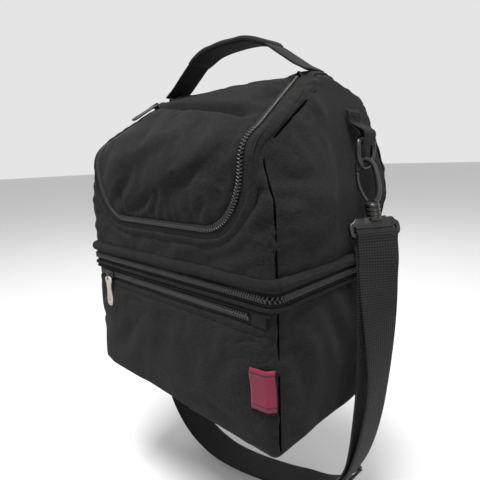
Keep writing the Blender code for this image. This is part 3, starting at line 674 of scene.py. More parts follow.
def inner_path(run):
    """The slack inner layer's path, from the adjuster up to the right frame."""
    outer = [p for p in run if p.x > 0 and ADJUSTER_Z + 14 < p.z < BAR_Z - 6]
    path = []
    for p, along in zip(outer, directions(outer)):
        back = along.cross(strap_across(p)).normalized()
        back = back if back.x < 0 else -back
        top = max(0.0, (p.z - 130.0) / 27.0)
        slack = math.sin(math.pi * min(max((126.0 - p.z) / 170.0, 0.0), 1.0))
        path.append(p + back * (3.6 + 2.8 * top + 7.0 * slack))
    return path


def make_strap():
    """The shoulder strap's webbing and slack layer, with the slide, hooks and swivels it carries.
    """
    right, left = wrap_points(1)[1:-1], wrap_points(-1)[1:-1]
    run = strap_run()
    path = right + run + left[::-1]
    section = web_section(WEB, 1.9)
    strap = sweep("shoulder_webbing", path, [strap_across(p) for p in path], section)
    piece(strap, "webbing", "shoulder_strap", ["strap_webbing"])
    inner = inner_path(run)
    layer = sweep("strap_slack_layer", inner, [strap_across(p) for p in inner], section)
    piece(layer, "webbing", "shoulder_strap", ["strap_inner_layer"])
    slide = make_adjuster(run)
    length = running(path)[-1] * MM
    hooks = [made for side, sign in SIDES
             for made in (*snap_hook(side, sign), swivel(side, sign))]
    world(path[0])
    [world(p) for p in path]


def make_adjuster(run):
    """The three-bar slide on the webbing."""
    near = min((i for i, p in enumerate(run) if p.x > 0), key=lambda i: abs(run[i].z - ADJUSTER_Z))
    mid, along = run[near], (run[near + 1] - run[near - 1]).normalized()
    across = strap_across(mid)
    across = (across - along * across.dot(along)).normalized()
    back = along.cross(across)
    back = back if back.x < 0 else -back
    bars = []
    for u in (-21.4, 21.4):
        ends = [mid + across * u + along * v for v in (-12.0, -6.0, 0.0, 6.0, 12.0)]
        bars.append(sweep("rail", ends, [across] * 5, rounded_box_section(1.9, 2.4, 1.0)))
    for v, w, half_v in ((-10.0, -2.9, 2.0), (10.0, -2.9, 2.0), (0.0, 3.0, 2.4)):
        ends = [mid + across * u + along * v + back * w for u in (-21.8, -10.0, 0.0, 10.0, 21.8)]
        bars.append(sweep("bar", ends, [along] * 5, rounded_box_section(half_v, 1.2, 0.8)))
    return piece(join(bars, "strap_slide"), "plastic", "shoulder_strap", ["strap_adjuster"])


# ------------------------------------------------------------ the bag's outer form
def half_width(z):
    """Half the bag's width at height z."""
    if z <= LEAN_Z:
        return HALF_W
    return HALF_W - (HALF_W - TOP_HALF_W) * (z - LEAN_Z) / (RIDGE[1] - LEAN_Z)


def fillet(before, here, after, radius, steps=8):
    """The arc that rounds a corner."""
    d1, d2 = (before - here).normalized(), (after - here).normalized()
    half = d1.angle(d2) / 2
    centre = here + (d1 + d2).normalized() * (radius / math.sin(half))
    a = here + d1 * (radius / math.tan(half)) - centre
    b = here + d2 * (radius / math.tan(half)) - centre
    turn = a.angle(b)
    return [centre + (a * math.sin((1 - k / steps) * turn) + b * math.sin(k / steps * turn))
            / math.sin(turn) for k in range(steps + 1)]


def make_profile(step):
    """The side view of the upper compartment, front bottom over the ridge to back bottom."""
    corners = [Vector((0, y, z)) for y, z in
               ((-HALF_D, BELT_Z + 0.6), (-HALF_D, SHOULDER_Z), RIDGE, (HALF_D, BACK_TOP_Z),
                (HALF_D, BELT_Z + 0.6))]
    pts = [corners[0]]
    for i, radius in ((1, 24.0), (2, 26.0), (3, 20.0)):
        pts += fillet(corners[i - 1], corners[i], corners[i + 1], radius)
    return resample(pts + [corners[4]], step)


X = Vector((1.0, 0.0, 0.0))
PROFILE = make_profile(2.0)
PROFILE_OUT = [X.cross(run) for run in directions(PROFILE)]
PROFILE_LENGTH = running(PROFILE)[-1]
RIDGE_AT = max(range(len(PROFILE)), key=lambda i: PROFILE[i].z)


def profile_at(s):
    """The profile's point and outward direction s mm along it."""
    t = min(max(s / PROFILE_LENGTH, 0.0), 1.0) * (len(PROFILE) - 1)
    i = min(int(t), len(PROFILE) - 2)
    f = t - i
    return (PROFILE[i].lerp(PROFILE[i + 1], f),
            PROFILE_OUT[i].lerp(PROFILE_OUT[i + 1], f).normalized())


def form(x, s, lift=0.0):
    """A point on the upper compartment: x across, s up the front and over the top."""
    p, out = profile_at(s)
    wide = half_width(p.z)
    past = abs(x) - (wide - CORNER)
    if past <= 0:
        return Vector((x, 0, 0)) + p + out * lift
    a = min(past / CORNER, math.pi / 2)
    side = X if x > 0 else -X
    centre = p - out * CORNER + side * (wide - CORNER)
    return centre + (side * math.sin(a) + out * math.cos(a)) * (CORNER + lift)


LID_TILT = math.radians(30.0)          # the plane the lid's outline is drawn in
LID_BOTTOM_V, LID_HINGE_V = 113.0, 252.0
LID_HALF = 104.0


def height_at(v):
    """Where the lid's cutting plane height v meets the profile."""
    c, s = math.cos(LID_TILT), math.sin(LID_TILT)
    heights = [p.y * s + p.z * c for p in PROFILE[:RIDGE_AT + 1]]
    i = next((i for i, h in enumerate(heights) if h > v), RIDGE_AT)
    t = (v - heights[i - 1]) / (heights[i] - heights[i - 1])
    return (i - 1 + t) * PROFILE_LENGTH / (len(PROFILE) - 1)


HINGE_S = height_at(LID_HINGE_V)


def lid_half_path():
    """The right half of the lid's zip as (x, s), bottom middle to its top end."""
    corners = [Vector((0, LID_BOTTOM_V, 0)), Vector((LID_HALF, LID_BOTTOM_V, 0)),
               Vector((LID_HALF, 188, 0)), Vector((84, 276, 0))]
    pts = [corners[0]] + fillet(corners[0], corners[1], corners[2], 44.0, 12)
    pts += fillet(corners[1], corners[2], corners[3], 60.0) + [corners[3].lerp(corners[2], 0.2)]
    return [Vector((p.x, height_at(p.y), 0.0)) for p in resample(pts, 2.0)]


HALF_ZIP = lid_half_path()
FULL_ZIP = [Vector((-p.x, p.y, 0)) for p in HALF_ZIP[:0:-1]] + HALF_ZIP


def zip_stations(step):
    """Points and outward directions along the lid's zip, in (x, s)."""
    path = resample(FULL_ZIP, step)
    return [(p, Vector((run.y, -run.x, 0))) for p, run in zip(path, directions(path))]


def on_zip(station, offset, lift):
    """A point beside the lid's zip: offset mm outside its line, lift mm off the form."""
    p, out = station
    q = p + out * offset
    return form(q.x, q.y, lift)


# ------------------------------------------------------------ cloth
def points_of(obj):
    """The mesh's points in metres, one row each."""
    co = np.empty(len(obj.data.vertices) * 3)
    obj.data.vertices.foreach_get("co", co)
    return co.reshape(-1, 3)


def put_points(obj, co):
    obj.data.vertices.foreach_set("co", np.asarray(co, float).ravel())
    obj.data.update()


def normals_of(obj):
    out = np.empty(len(obj.data.vertices) * 3)
    obj.data.vertex_normals.foreach_get("vector", out)
    return out.reshape(-1, 3)


def distance_to(co, line):
    """Distance of each point to a polyline in mm, and how far along it, 0 to 1."""
    line = np.array([world(p) for p in line])
    best, at = np.full(len(co), 1e9), np.zeros(len(co))
    for i, (a, b) in enumerate(zip(line, line[1:])):
        ab = b - a
        t = np.clip(((co - a) @ ab) / max(ab @ ab, 1e-12), 0, 1)
        d = np.linalg.norm(co - a - t[:, None] * ab, axis=1)
        near = d < best
        best[near], at[near] = d[near], (i + t[near]) / (len(line) - 1)
    return best / MM, at


def press(obj, creases):
    """Press creases in: (points, width, depth), a valley with a soft ridge on each side."""
    for line, width, depth in creases:
        co, out = points_of(obj), normals_of(obj)
        d, t = distance_to(co, line)
        taper = np.sqrt(np.clip(np.sin(np.pi * np.clip(t, 0.02, 0.98)), 0, 1))
        shape = 0.5 * np.exp(-((d - 2.0 * width) / width) ** 2) - np.exp(-(d / width) ** 2)
        put_points(obj, co + out * (shape * taper * depth * 1.5 * MM)[:, None])


def ripple(obj, scale, depth, seed):
    """A smooth uneven lift, the same each run."""
    rng = np.random.default_rng(seed)
    co, out = points_of(obj), normals_of(obj)
    lift = np.zeros(len(co))
    for _ in range(14):
        wave = rng.normal(size=3)
        wave *= 2 * math.pi / (scale * MM * rng.uniform(0.6, 1.6)) / np.linalg.norm(wave)
        lift += np.sin(co @ wave + rng.uniform(0, 2 * math.pi))
    put_points(obj, co + out * (lift * depth * MM / 4.0)[:, None])


def pucker(obj, line, reach, depth, phase):
    """Little gathers that run out from a seam, dying away over reach mm."""
    co, out = points_of(obj), normals_of(obj)
    d, t = distance_to(co, line)
    s = t * running(line)[-1]
    wave = (np.sin(2 * np.pi * s / 14.0 + phase) + 0.8 * np.sin(2 * np.pi * s / 23.0 + 2 * phase)
            + 0.5 * np.sin(2 * np.pi * s / 9.5 + 3 * phase))
    lift = depth * np.exp(-d / reach) * (1 - np.exp(-(d / 3.0) ** 2)) * wave
    put_points(obj, co + out * (lift * MM)[:, None])


def smooth(low, high, value):
    """0 below low, 1 above high, eased between, for an array."""
    t = np.clip((value - low) / (high - low), 0.0, 1.0)
    return t * t * (3 - 2 * t)


def slump(obj):
    """Let the soft corners go: full at the back, drooping ridge ends and shoulders."""
    co = (points_of(obj) - np.array(ORIGIN)) / MM
    x, y, z = co[:, 0].copy(), co[:, 1].copy(), co[:, 2].copy()
    wide, sign = np.abs(x), np.sign(x)
    back = (smooth(50, 132, wide) * smooth(46, 82, y) * smooth(147, 195, z)
            * (1 - smooth(215, 272, z)))
    ridge = smooth(86, 114, wide) * smooth(-15, 25, y) * smooth(250, 300, z)
    shoulder = (smooth(108, 134, wide) * np.exp(-((y + 76) / 24) ** 2)
                * np.exp(-((z - 238) / 28) ** 2))
    co[:, 0] += sign * (4.5 * back - 10.0 * shoulder - 1.0 * ridge)
    co[:, 1] += 8.0 * back + 4.0 * shoulder
    co[:, 2] -= 5.0 * ridge + 6.0 * shoulder
    put_points(obj, co * MM + np.array(ORIGIN))


def lay_flat(obj, weights, flat):
    """Bring points down onto flat, where weights says how fully."""
    co = points_of(obj)
    weights = np.array(weights)[:, None]
    flat = np.array([world(p) for p in flat])
    put_points(obj, co * (1 - weights) + flat * weights)


SLACK = []
CLOTH_FRAMES = 14
CLOTH = {"quality": 4, "mass": 0.15, "tension_stiffness": 12.0, "compression_stiffness": 12.0,
         "shear_stiffness": 4.0, "bending_stiffness": 0.4, "use_pressure": True,
         "vertex_group_mass": "pin"}
SIDE_SLIP = 2.5         # the furthest a point may slide within the sheet, mm


def slacken(obj, pinned, grow, pressure, outward, inward):
    """Queue a sheet for the cloth simulation, held at its pinned points."""
    SLACK.append((obj, pinned, grow, pressure, outward, inward))


def run_cloth():
    """Simulate every queued sheet at once and write the result into its mesh."""
    scene = bpy.context.scene
    held = []
    for obj, pinned, grow, pressure, _, _ in SLACK:
        held.append((points_of(obj), normals_of(obj)))
        group = obj.vertex_groups.new(name="pin")
        group.add([int(i) for i in pinned], 1.0, "REPLACE")
        mod = obj.modifiers.new("Cloth", "CLOTH")
        cloth = mod.settings
        for key, value in CLOTH.items():
            setattr(cloth, key, value)
        cloth.shrink_min = -grow
        cloth.uniform_pressure_force = pressure
        cloth.effector_weights.gravity = 0.0
        mod.collision_settings.use_collision = False
        mod.point_cache.frame_start, mod.point_cache.frame_end = 1, CLOTH_FRAMES
    for frame_number in range(1, CLOTH_FRAMES + 1):
        scene.frame_set(frame_number)
    graph = bpy.context.evaluated_depsgraph_get()
    for (obj, _, _, _, outward, inward), (before, out) in zip(SLACK, held):
        after = np.empty(len(before) * 3)
        obj.evaluated_get(graph).data.vertices.foreach_get("co", after)
        move = after.reshape(-1, 3) - before
        along = (move * out).sum(1)
        side = move - out * along[:, None]
        reach = np.linalg.norm(side, axis=1)[:, None]
        side *= np.minimum(1.0, SIDE_SLIP * MM / np.maximum(reach, 1e-9))
        along = np.where(along > 0, outward * MM * np.tanh(along / (outward * MM)),
                         inward * MM * np.tanh(along / (inward * MM)))
        obj.modifiers.remove(obj.modifiers["Cloth"])
        obj.vertex_groups.clear()
        put_points(obj, before + side + out * along[:, None])
    scene.frame_set(1)


# ------------------------------------------------------------ upper compartment
SEAM_DIP = 1.9
MOUTH_CUT = 4.0         # the body's fabric stops this far outside the lid's zip


def dip(d, width=2.4):
    """How far fabric draws in at a seam d mm away."""
    return -SEAM_DIP * math.exp(-(d / width) ** 2)


def lid_distance(x, s):
    """Signed distance to the lid's opening in (x, s): negative inside it."""
    best, inside = 1e9, abs(x) < HALF_ZIP[-1].x or s < HINGE_S
    p = Vector((abs(x), s, 0))
    for a, b in zip(HALF_ZIP, HALF_ZIP[1:]):
        ab = b - a
        t = min(max((p - a).dot(ab) / ab.length_squared, 0.0), 1.0)
        off = p - a - ab * t
        if off.length < best:
            best = off.length
            inside = ab.x * off.y - ab.y * off.x > 0
    if s > HINGE_S - 0.1 and inside:
        return s - HINGE_S
    return -min(best, HINGE_S - s) if inside else best


def upper_wrap():
    """One strip of fabric up the front, over the top and down the back."""
    count, cols = 112, 70
    rows, gone, free, weights, flat = [], set(), [], [], []
    for r, s in enumerate(PROFILE_LENGTH * k / count for k in range(count + 1)):
        p, _ = profile_at(s)
        half = half_width(p.z) - CORNER + CORNER * math.pi / 2
        row = []
        for c in range(cols + 1):
            x = half * (2 * c / cols - 1)
            d = lid_distance(x, s) if s < HINGE_S + 8 else 99.0
            if d < MOUTH_CUT - 1.6:
                gone.add((r, c))
            if MOUTH_CUT - 1.6 <= d < MOUTH_CUT + 1.0:
                step = 0.5
                gx = lid_distance(x + step, s) - lid_distance(x - step, s)
                gs = lid_distance(x, s + step) - lid_distance(x, s - step)
                size = max(math.hypot(gx, gs), 1e-6)
                move = MOUTH_CUT - d
                row.append(form(x + gx / size * move, s + gs / size * move, -0.2))
                weights.append(1.0)
                flat.append(row[-1])
                continue
            weights.append(1 - ease((d - 12.5) / 7.0) if d < 90 else 0.0)
            flat.append(form(x, s, -0.1))
            edge = half - abs(x)
            swell = 1.4 * ease(edge / 30.0) if s > HINGE_S else 2.2 * ease(edge / 20.0)
            if edge > 6 and s > 12 and d > 14:
                free.append((r, c))
            row.append(form(x, s, swell + dip(edge)))
        rows.append(row)
    keep = lambda r, c: not any(q in gone for q in ((r, c), (r + 1, c), (r, c + 1),
                                                    (r + 1, c + 1)))
    obj = grid("upper_fabric", rows, keep=keep)
    creases = [([(126, -80, 214), (116, -80, 200), (99, -80, 183)], 4.5, 2.6),
               ([(122, -80, 228), (114, -80, 214)], 3.0, 1.6),
               ([(112, -80, 168), (92, -80, 158), (60, -80, 152)], 5.0, 1.4),
               ([(-122, -80, 205), (-104, -80, 182)], 4.5, 2.2),
               ([(-60, -80, 152), (-95, -80, 160)], 5.0, 1.2),
               ([(-70, 80, 262), (-20, 80, 236), (10, 80, 190)], 7.0, 2.0),
               ([(60, 80, 268), (75, 80, 225), (60, 80, 175)], 7.0, 1.8),
               ([(-100, 60, 288), (-40, 50, 294)], 5.0, 1.6),
               ([(30, 52, 293), (98, 62, 288)], 5.0, 1.6)]
    ripple(obj, 46.0, 0.45, 3)
    press(obj, creases)
    loose = {r * (cols + 1) + c for r, c in free}
    pinned = [i for i in range(len(obj.data.vertices)) if i not in loose]
    for _, sign in SIDES:
        pucker(obj, corner_seam(sign), 12.0, 1.2, 1.0 + sign)
    slacken(obj, pinned, 0.022, 0.6, 3.0, 0.9)
    return obj, weights, flat


def corner_seam(sign, sink=1.0):
    """The line where the wrap meets a side panel."""
    return [Vector((sign * (half_width(p.z) - sink), p.y, p.z)) - Vector((0, o.y, o.z)) * CORNER
            for p, o in zip(PROFILE, PROFILE_OUT)][::2]


def side_grid(name, sign, outline_in, swell, depth=0.0):
    """A side panel filling the profile, drawn in by outline_in; swell pads it out."""
    inner = [p - out * outline_in for p, out in zip(PROFILE, PROFILE_OUT)]
    front, back = inner[:RIDGE_AT + 1], inner[RIDGE_AT:][::-1]
    top = inner[RIDGE_AT].z - 0.4

    def y_at(side, z):
        for a, b in zip(side, side[1:]):
            if a.z <= z <= b.z and b.z > a.z:
                return a.y + (b.y - a.y) * (z - a.z) / (b.z - a.z)
        return side[-1].y

    rows, border = [], []
    bottom, count, cols = BELT_Z + 0.6, 42, 38
    for r in range(count + 1):
        z = bottom + (top - bottom) * (1 - (1 - r / count) ** 1.25)
        y0, y1 = y_at(front, z), y_at(back, z)
        row = []
        for c in range(cols + 1):
            y = y0 + (y1 - y0) * c / cols
            row.append(Vector((sign * half_width(z), y, z)))
            if c < 2 or c > cols - 2 or r < 2 or r > count - 5:
                border.append(r * (cols + 1) + c)
        rows.append(row)
    obj = grid(name, rows if sign > 0 else [row[::-1] for row in rows])
    co = points_of(obj)
    lift = -depth
    if swell:
        rim = [Vector((sign * half_width(p.z), p.y, p.z)) for p in inner]
        d, _ = distance_to(co, rim)
        d = np.minimum(d, (co[:, 2] / MM - (world((0, 0, bottom)).z / MM)) * 1.5)
        past = np.maximum(d - (CORNER - outline_in), 0.0)
        lift = swell * (1 - np.exp(-past / 16.0)) - 3.0 * np.exp(-(d / 3.6) ** 2)
    co[:, 0] += sign * lift * MM
    put_points(obj, co)
    return obj, border


def upper_sides():
    """Both side panels of the upper compartment, right first."""
    made = []
    for side, sign in SIDES:
        obj, border = side_grid("side_fabric_" + side, sign, 2.5, 2.6)
        x = sign * HALF_W
        creases = [([(x, -77, 236), (x, -66, 239), (x, -58, 238)], 2.4, 2.0),
                   ([(x, -74, 196), (x, -58, 201), (x, -44, 199)], 4.0, 1.5),
                   ([(x, -72, 222), (x, -50, 214), (x, -24, 216)], 5.0, 1.3),
                   ([(x, -66, 170), (x, -36, 162), (x, -12, 168)], 6.0, 1.2),
                   ([(x, 28, 226), (x, 8, 196), (x, -4, 170)], 6.0, 1.6),
                   ([(x, 52, 246), (x, 62, 210), (x, 60, 176)], 6.0, 1.7),
                   ([(x, 14, 284), (x, -10, 262), (x, -22, 240)], 6.0, 1.7)]
        ripple(obj, 40.0, 0.5, 5 + sign)
        press(obj, creases)
        pucker(obj, corner_seam(sign), 15.0, 1.5, 4.0 + sign)
        slacken(obj, border, 0.022, 0.8, 3.2, 0.9)
        made.append(obj)
    return made


LID_TOP_S = HINGE_S + 16.0
LID_IN = 2.8


FOLD_FROM, FOLD_SLANT = Vector((-86.0, -17.0)), 0.227
FOLD_LEFT, FOLD_RIGHT = -104.0, 92.0
FOLD_LIP, FOLD_FACE = 2.2, 9.5          # height before the fold, and behind it


def behind_fold(x, y):
    """How far back a point lies from the slanting fold across the lid's slope."""
    return y - FOLD_FROM.y + (x - FOLD_FROM.x) * FOLD_SLANT


def lid_rows(inset, top_s):
    """Rows across the lid in (x, s), following its outline."""
    zip_half = resample(HALF_ZIP, 3.4)
    rows, last = [], -1e9
    for p, run in zip(zip_half, directions(zip_half)):
        q = p - Vector((run.y, -run.x, 0)) * inset
        if q.x < 55 or q.y > top_s or q.y < last + 0.35:
            continue
        rows.append((q.x, q.y))
        last = q.y
    x0, x1 = rows[-2], rows[-1]
    slope = (x1[0] - x0[0]) / (x1[1] - x0[1])
    while rows[-1][1] < top_s - 1.0:
        s = min(rows[-1][1] + 3.4, top_s)
        rows.append((rows[-1][0] + slope * (s - rows[-1][1]), s))
    return rows


def lid_fabric():
    """The padded lid, whose fabric runs on up to the ridge."""
    rows, border, cols = [], [], 54
    outline = lid_rows(LID_IN, LID_TOP_S)
    for r, (half, s) in enumerate(outline):
        row = []
        for c in range(cols + 1):
            x = half * (2 * c / cols - 1)
            edge = min(-lid_distance(x, min(s, HINGE_S - 60)) - LID_IN if s > HINGE_S - 60
                       else -lid_distance(x, s) - LID_IN, half - abs(x) + 0.01)
            edge = max(edge, 0.0)
            roll = 1.0 - math.exp(-edge / 2.6)
            puff = ease(edge / 46.0)
            near_top = ease((LID_TOP_S - s) / 26.0)
            ahead = -behind_fold(x, form(x, s).y)
            lip = FOLD_LIP * ease((ahead + 1) / 3.0) * (1 - ease((ahead - 4) / 22.0))
            lip *= ease((x - FOLD_LEFT) / 18.0) * ease((FOLD_RIGHT - x) / 30.0)
            lift = 1.0 + (2.6 * roll + 2.4 * puff) * near_top + lip
            row.append(form(x, s, lift))
            if edge < 3.0 or s > LID_TOP_S - 5:
                border.append(r * (cols + 1) + c)
        rows.append(row)
    weights, flat = [], []
    for (_, s), row in zip(outline, rows):
        for p in row:
            behind = behind_fold(p.x, p.y)
            bulge = ease((behind - 1) / 11.0) * ease((LID_TOP_S - s) / 34.0)
            weights.append(ease((behind + 1.5) / 3.0) * ease((p.x - FOLD_LEFT) / 14.0)
                           * ease((FOLD_RIGHT - p.x) / 18.0))
            flat.append(form(p.x, s, -1.4 + 2.2 * ease((behind - 1) / 11.0) + FOLD_FACE * bulge))
    obj = grid("lid_fabric", rows)
    creases = [([(-50, -84, 182), (-20, -84, 194), (8, -84, 206)], 4.0, 1.7),
               ([(-6, -84, 183), (0, -84, 194), (8, -84, 206)], 3.2, 1.5),
               ([(-78, -84, 190), (-58, -84, 202), (-34, -84, 216)], 4.5, 1.6),
               ([(-40, -84, 209), (-27, -84, 198)], 2.6, 1.2),
               ([(10, -84, 196), (50, -84, 216), (98, -76, 243)], 7.0, 1.5),
               ([(-60, -84, 214), (-10, -84, 232), (50, -70, 250)], 9.0, 1.4),
               ([(50, -84, 182), (66, -84, 196)], 4.0, 1.3)]
    ripple(obj, 50.0, 0.5, 11)
    press(obj, creases)
    pucker(obj, [form(p.x, p.y, 1.0) for p in FULL_ZIP], 11.0, 1.0, 2.0)
    slacken(obj, border, 0.026, 1.0, 4.0, 1.2)
    return obj, weights, flat


# ------------------------------------------------------------ lower compartment
def box_path(inset, step, corner=CORNER):
    """Round the bag at one height, starting at the middle of the back."""
    wide, deep = HALF_W - inset, HALF_D - inset
    radius = max(corner - inset, 0.8)
    corners = [Vector((wide, deep, 0)), Vector((-wide, deep, 0)), Vector((-wide, -deep, 0)),
               Vector((wide, -deep, 0))]
    pts = [Vector((0, deep, 0))]
    for i in (1, 2, 3, 0):
        pts += fillet(corners[i - 1], corners[i], corners[(i + 1) % 4], radius, 6)
    return resample(pts + [Vector((0, deep, 0))], step)[:-1]


def lower_fabric():
    """The lower box's wall, turned under at the base."""
    base = box_path(0.0, STEP)
    outs = []
    for i in range(len(base)):
        run = (base[(i + 1) % len(base)] - base[i - 1]).normalized()
        outs.append(Vector((-run.y, run.x, 0)) * -1)
    if outs[0].y < 0:
        outs = [-o for o in outs]
    rows, border = [], []
    count = 33
    weights, flat = [0.0] * (2 * len(base)), [Vector()] * (2 * len(base))
    for r in range(count + 1):
        z = 5.0 + (BELT_Z - 0.4 - 5.0) * r / count
        row = []
        for c, (p, out) in enumerate(zip(base, outs)):
            seam = min(math.hypot(abs(p.x) - HALF_W + 1.0, abs(p.y) - HALF_D + CORNER), 99.0)
            middle = ease(seam / 40.0) * math.sin(math.pi * r / count)
            lift = 2.2 * middle + dip(seam, 2.0)
            row.append(p + out * lift + Vector((0, 0, z)))
            weights.append(ease((z - 88) / 12.0) * (p.y < -HALF_D + 1.0))
            flat.append(p - out * 0.2 + Vector((0, 0, z)))
            if seam < 3 or r < 1 or r > count - 3:
                border.append((r + 2) * len(base) + c)
        rows.append(row)
    turn_under = []
    for inset, z in ((5.0, 0.4), (1.6, 1.6)):
        turn_under.append([p - out * inset + Vector((0, 0, z)) for p, out in zip(base, outs)])
    border += list(range(2 * len(base)))
    obj = grid("lower_fabric", turn_under + rows, closed=True)
    x = HALF_W
    creases = [([(x, -70, 96), (x, -52, 74), (x, -44, 40)], 8.0, 2.2),
               ([(x, -20, 118), (x, -6, 92), (x, 6, 60)], 7.0, 1.8),
               ([(x, 20, 30), (x, 44, 52), (x, 66, 60)], 7.0, 1.6),
               ([(-x, -60, 90), (-x, -30, 60), (-x, -20, 30)], 8.0, 2.0),
               ([(-x, 20, 100), (-x, 50, 60)], 7.0, 1.6),
               ([(-70, 80, 100), (-20, 80, 60), (-10, 80, 30)], 8.0, 1.8),
               ([(90, 80, 96), (60, 80, 60), (70, 80, 26)], 8.0, 1.8)]
    ripple(obj, 52.0, 0.5, 17)
    press(obj, creases)
    for x, y in ((HALF_W, -HALF_D + CORNER), (-HALF_W, -HALF_D + CORNER)):
        pucker(obj, [Vector((x, y, z)) for z in range(4, 132, 8)], 11.0, 1.0, 2.0 + x)
    slacken(obj, border, 0.018, 0.8, 3.2, 0.9)
    return obj, weights, flat


HOOK_Y = 36.0           # middle of the strip the hook swings over
HOOK_CLEAR = (26.0, 44.0)
HOOK_FROM_Z = (148.0, 172.0)


def clear_of_hook(obj, sign):
    """Keep a side panel flat where the hook hangs against it."""
    co = (points_of(obj) - np.array(ORIGIN)) / MM
    weights = ((1 - smooth(*HOOK_CLEAR, np.abs(co[:, 1] - HOOK_Y)))
               * smooth(*HOOK_FROM_Z, co[:, 2]))
    flat = [Vector((sign * (half_width(z) - 0.3), y, z)) for _, y, z in co]
    lay_flat(obj, weights, flat)


def base_panel():
    """The base's outer face, a little domed."""
    wide, deep = HALF_W - 4.6, HALF_D - 4.6

    def point(r, c):
        x, y = wide * (2 * c / 50 - 1), deep * (2 * r / 32 - 1)
        edge = min(wide - abs(x), deep - abs(y))
        return Vector((x, y, 0.9 - 0.5 * ease(edge / 12.0)))

    obj = grid("base_panel", lattice(range(33), range(50, -1, -1), point))
    ripple(obj, 60.0, 0.2, 23)
    return obj


POCKET_RISE = 1.0       # how far the pocket's zip stands above its drawn line
POCKET_TOP = 106.0 + POCKET_RISE
POCKET_BOTTOM = 4.6
POCKET_COIL_START, POCKET_COIL = -117, 226
ROW_GAP = 3.8


def pocket():
    """The front pocket's panel: a hemmed top edge, seams at the sides and below."""
    wide, rows, border, cols = HALF_W - 2.5, [], [], 64
    levels = [POCKET_TOP - 0.2, POCKET_TOP + 0.5, POCKET_TOP - 0.2]
    levels += [POCKET_TOP - d for d in (1.5, 3.5, 5.2, 6.0, 6.8, 9.0)]
    lifts = [0.2, 1.1, 2.0, 2.3, 2.2, 1.9, 1.4, 1.9, 2.4]
    z = levels[-1]
    while z > POCKET_BOTTOM + 3.9:
        z -= ROW_GAP
        levels.append(max(z, POCKET_BOTTOM))
        lifts.append(2.4)
    for r, (z, lift) in enumerate(zip(levels, lifts)):
        row = []
        for c in range(cols + 1):
            x = wide * (2 * c / cols - 1)
            edge = min(wide - abs(x), z - 3.0)
            sag = 2.8 * ease(edge / 38.0) * ease((POCKET_TOP - z) / 26.0)
            close = ease(edge / 7.0)
            back = 1.8 * (1 - ease((wide - abs(x)) / 5.0))
            row.append(Vector((x, -HALF_D - 0.2 - lift * max(close, 0.25) - sag + back, z)))
            if edge < 3.5 or r < 9:
                border.append(r * (cols + 1) + c)
        rows.append(row)
    obj = grid("pocket_fabric", [row[::-1] for row in rows])
    y = -HALF_D - 3
    creases = [([(-60, y, 92), (-20, y, 84), (30, y, 88)], 6.0, 1.2),
               ([(118, y, 96), (92, y, 80), (70, y, 50)], 8.0, 1.6),
               ([(-110, y, 30), (-70, y, 44), (-50, y, 70)], 8.0, 1.4),
               ([(20, y, 16), (60, y, 26), (96, y, 18)], 6.0, 1.2)]
    ripple(obj, 55.0, 0.45, 29)
    press(obj, creases)
    slacken(obj, border, 0.016, 0.7, 3.0, 0.9)
    return obj


def make_fabric():
    """Every outer panel: drawn, slackened together, then given its thickness."""
    wrap, lid_parts, lower = upper_wrap(), lid_fabric(), lower_fabric()
    lid_sheet = lid_parts[0]
    side_sheets, front = upper_sides(), pocket()
    run_cloth()
    for parts in (wrap, lid_parts, lower):
        lay_flat(*parts)
    for obj, (_, sign) in zip(side_sheets, SIDES):
        clear_of_hook(obj, sign)
    for obj in [wrap[0]] + side_sheets:
        slump(obj)
    sheets = [(wrap[0], UP, ["upper_skin"])] + [(obj, UP, []) for obj in side_sheets]
    sheets += [(lower[0], LOW, ["lower_wall_skin"]), (front, LOW, ["front_pocket_panel"]),
               (base_panel(), LOW, ["lower_base_skin"]), (lid_sheet, None, ["lid_skin"])]
    for obj, body, nodes in sheets:
        drop_loose(obj)
        subdivide(thicken(obj))
        piece(obj, "fabric", body, nodes)
    (above, _), (below, _) = profile_at(HINGE_S + 7.0), profile_at(HINGE_S - 9.0)
    world(above)
    world(below)
    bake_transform(lid_sheet)


# ------------------------------------------------------------ settling on the fabric
def tree_of(objs):
    """One search tree over finished pieces, in the frame's metres."""
    graph = bpy.context.evaluated_depsgraph_get()
    points, faces = [], []
    for obj in objs:
        mesh = obj.evaluated_get(graph).data
        start = len(points)
        points += [obj.matrix_world @ v.co for v in mesh.vertices]
        faces += [[start + i for i in p.vertices] for p in mesh.polygons]
    return BVHTree.FromPolygons(points, faces)


def settle(tree, p, out, lift=0.0, reach=14.0):
    """The point lift mm off the fabric, looking in along out from reach mm away."""
    hit, *_ = tree.ray_cast(world(p + out * reach), -out, 2 * reach * MM)
    return (hit - ORIGIN) / MM + out * lift if hit else p + out * lift


THREAD_R = 0.3


def stitches(name, path, outs, body, pitch=3.2, length=2.3):
    """A row of thread stitches lying along a path of surface points."""
    dist = running(path)
    points, faces, i = [], [], 0
    for k in range(int(dist[-1] / pitch)):
        d = (k + 0.5) * pitch
        while dist[i + 1] < d:
            i += 1
        t = (d - dist[i]) / (dist[i + 1] - dist[i])
        at = path[i].lerp(path[i + 1], t)
        run = (path[i + 1] - path[i]).normalized()
        up = outs[i]
        side = run.cross(up).normalized()
        n = len(points)
        for a, r in ((-0.5, 0.35), (-0.28, 1.0), (0.28, 1.0), (0.5, 0.35)):
            c = at + run * (a * length) + up * (THREAD_R * (0.1 + 0.9 * (r == 1.0)) - 0.25)
            points += [c + side * u * THREAD_R * r + up * v * THREAD_R * r
                       for u, v in circle(1.0, 6)]
        for j in range(3):
            for m in range(6):
                a, b = n + j * 6 + m, n + j * 6 + (m + 1) % 6
                faces.append((a, b, b + 6, a + 6))
        faces.append(tuple(n + m for m in range(5, -1, -1)))
        faces.append(tuple(n + 18 + m for m in range(6)))
    obj = face_out(mesh_object(name, points, faces))
    obj.data.uv_layers.new(name="weave")
    return piece(obj, "thread", body)


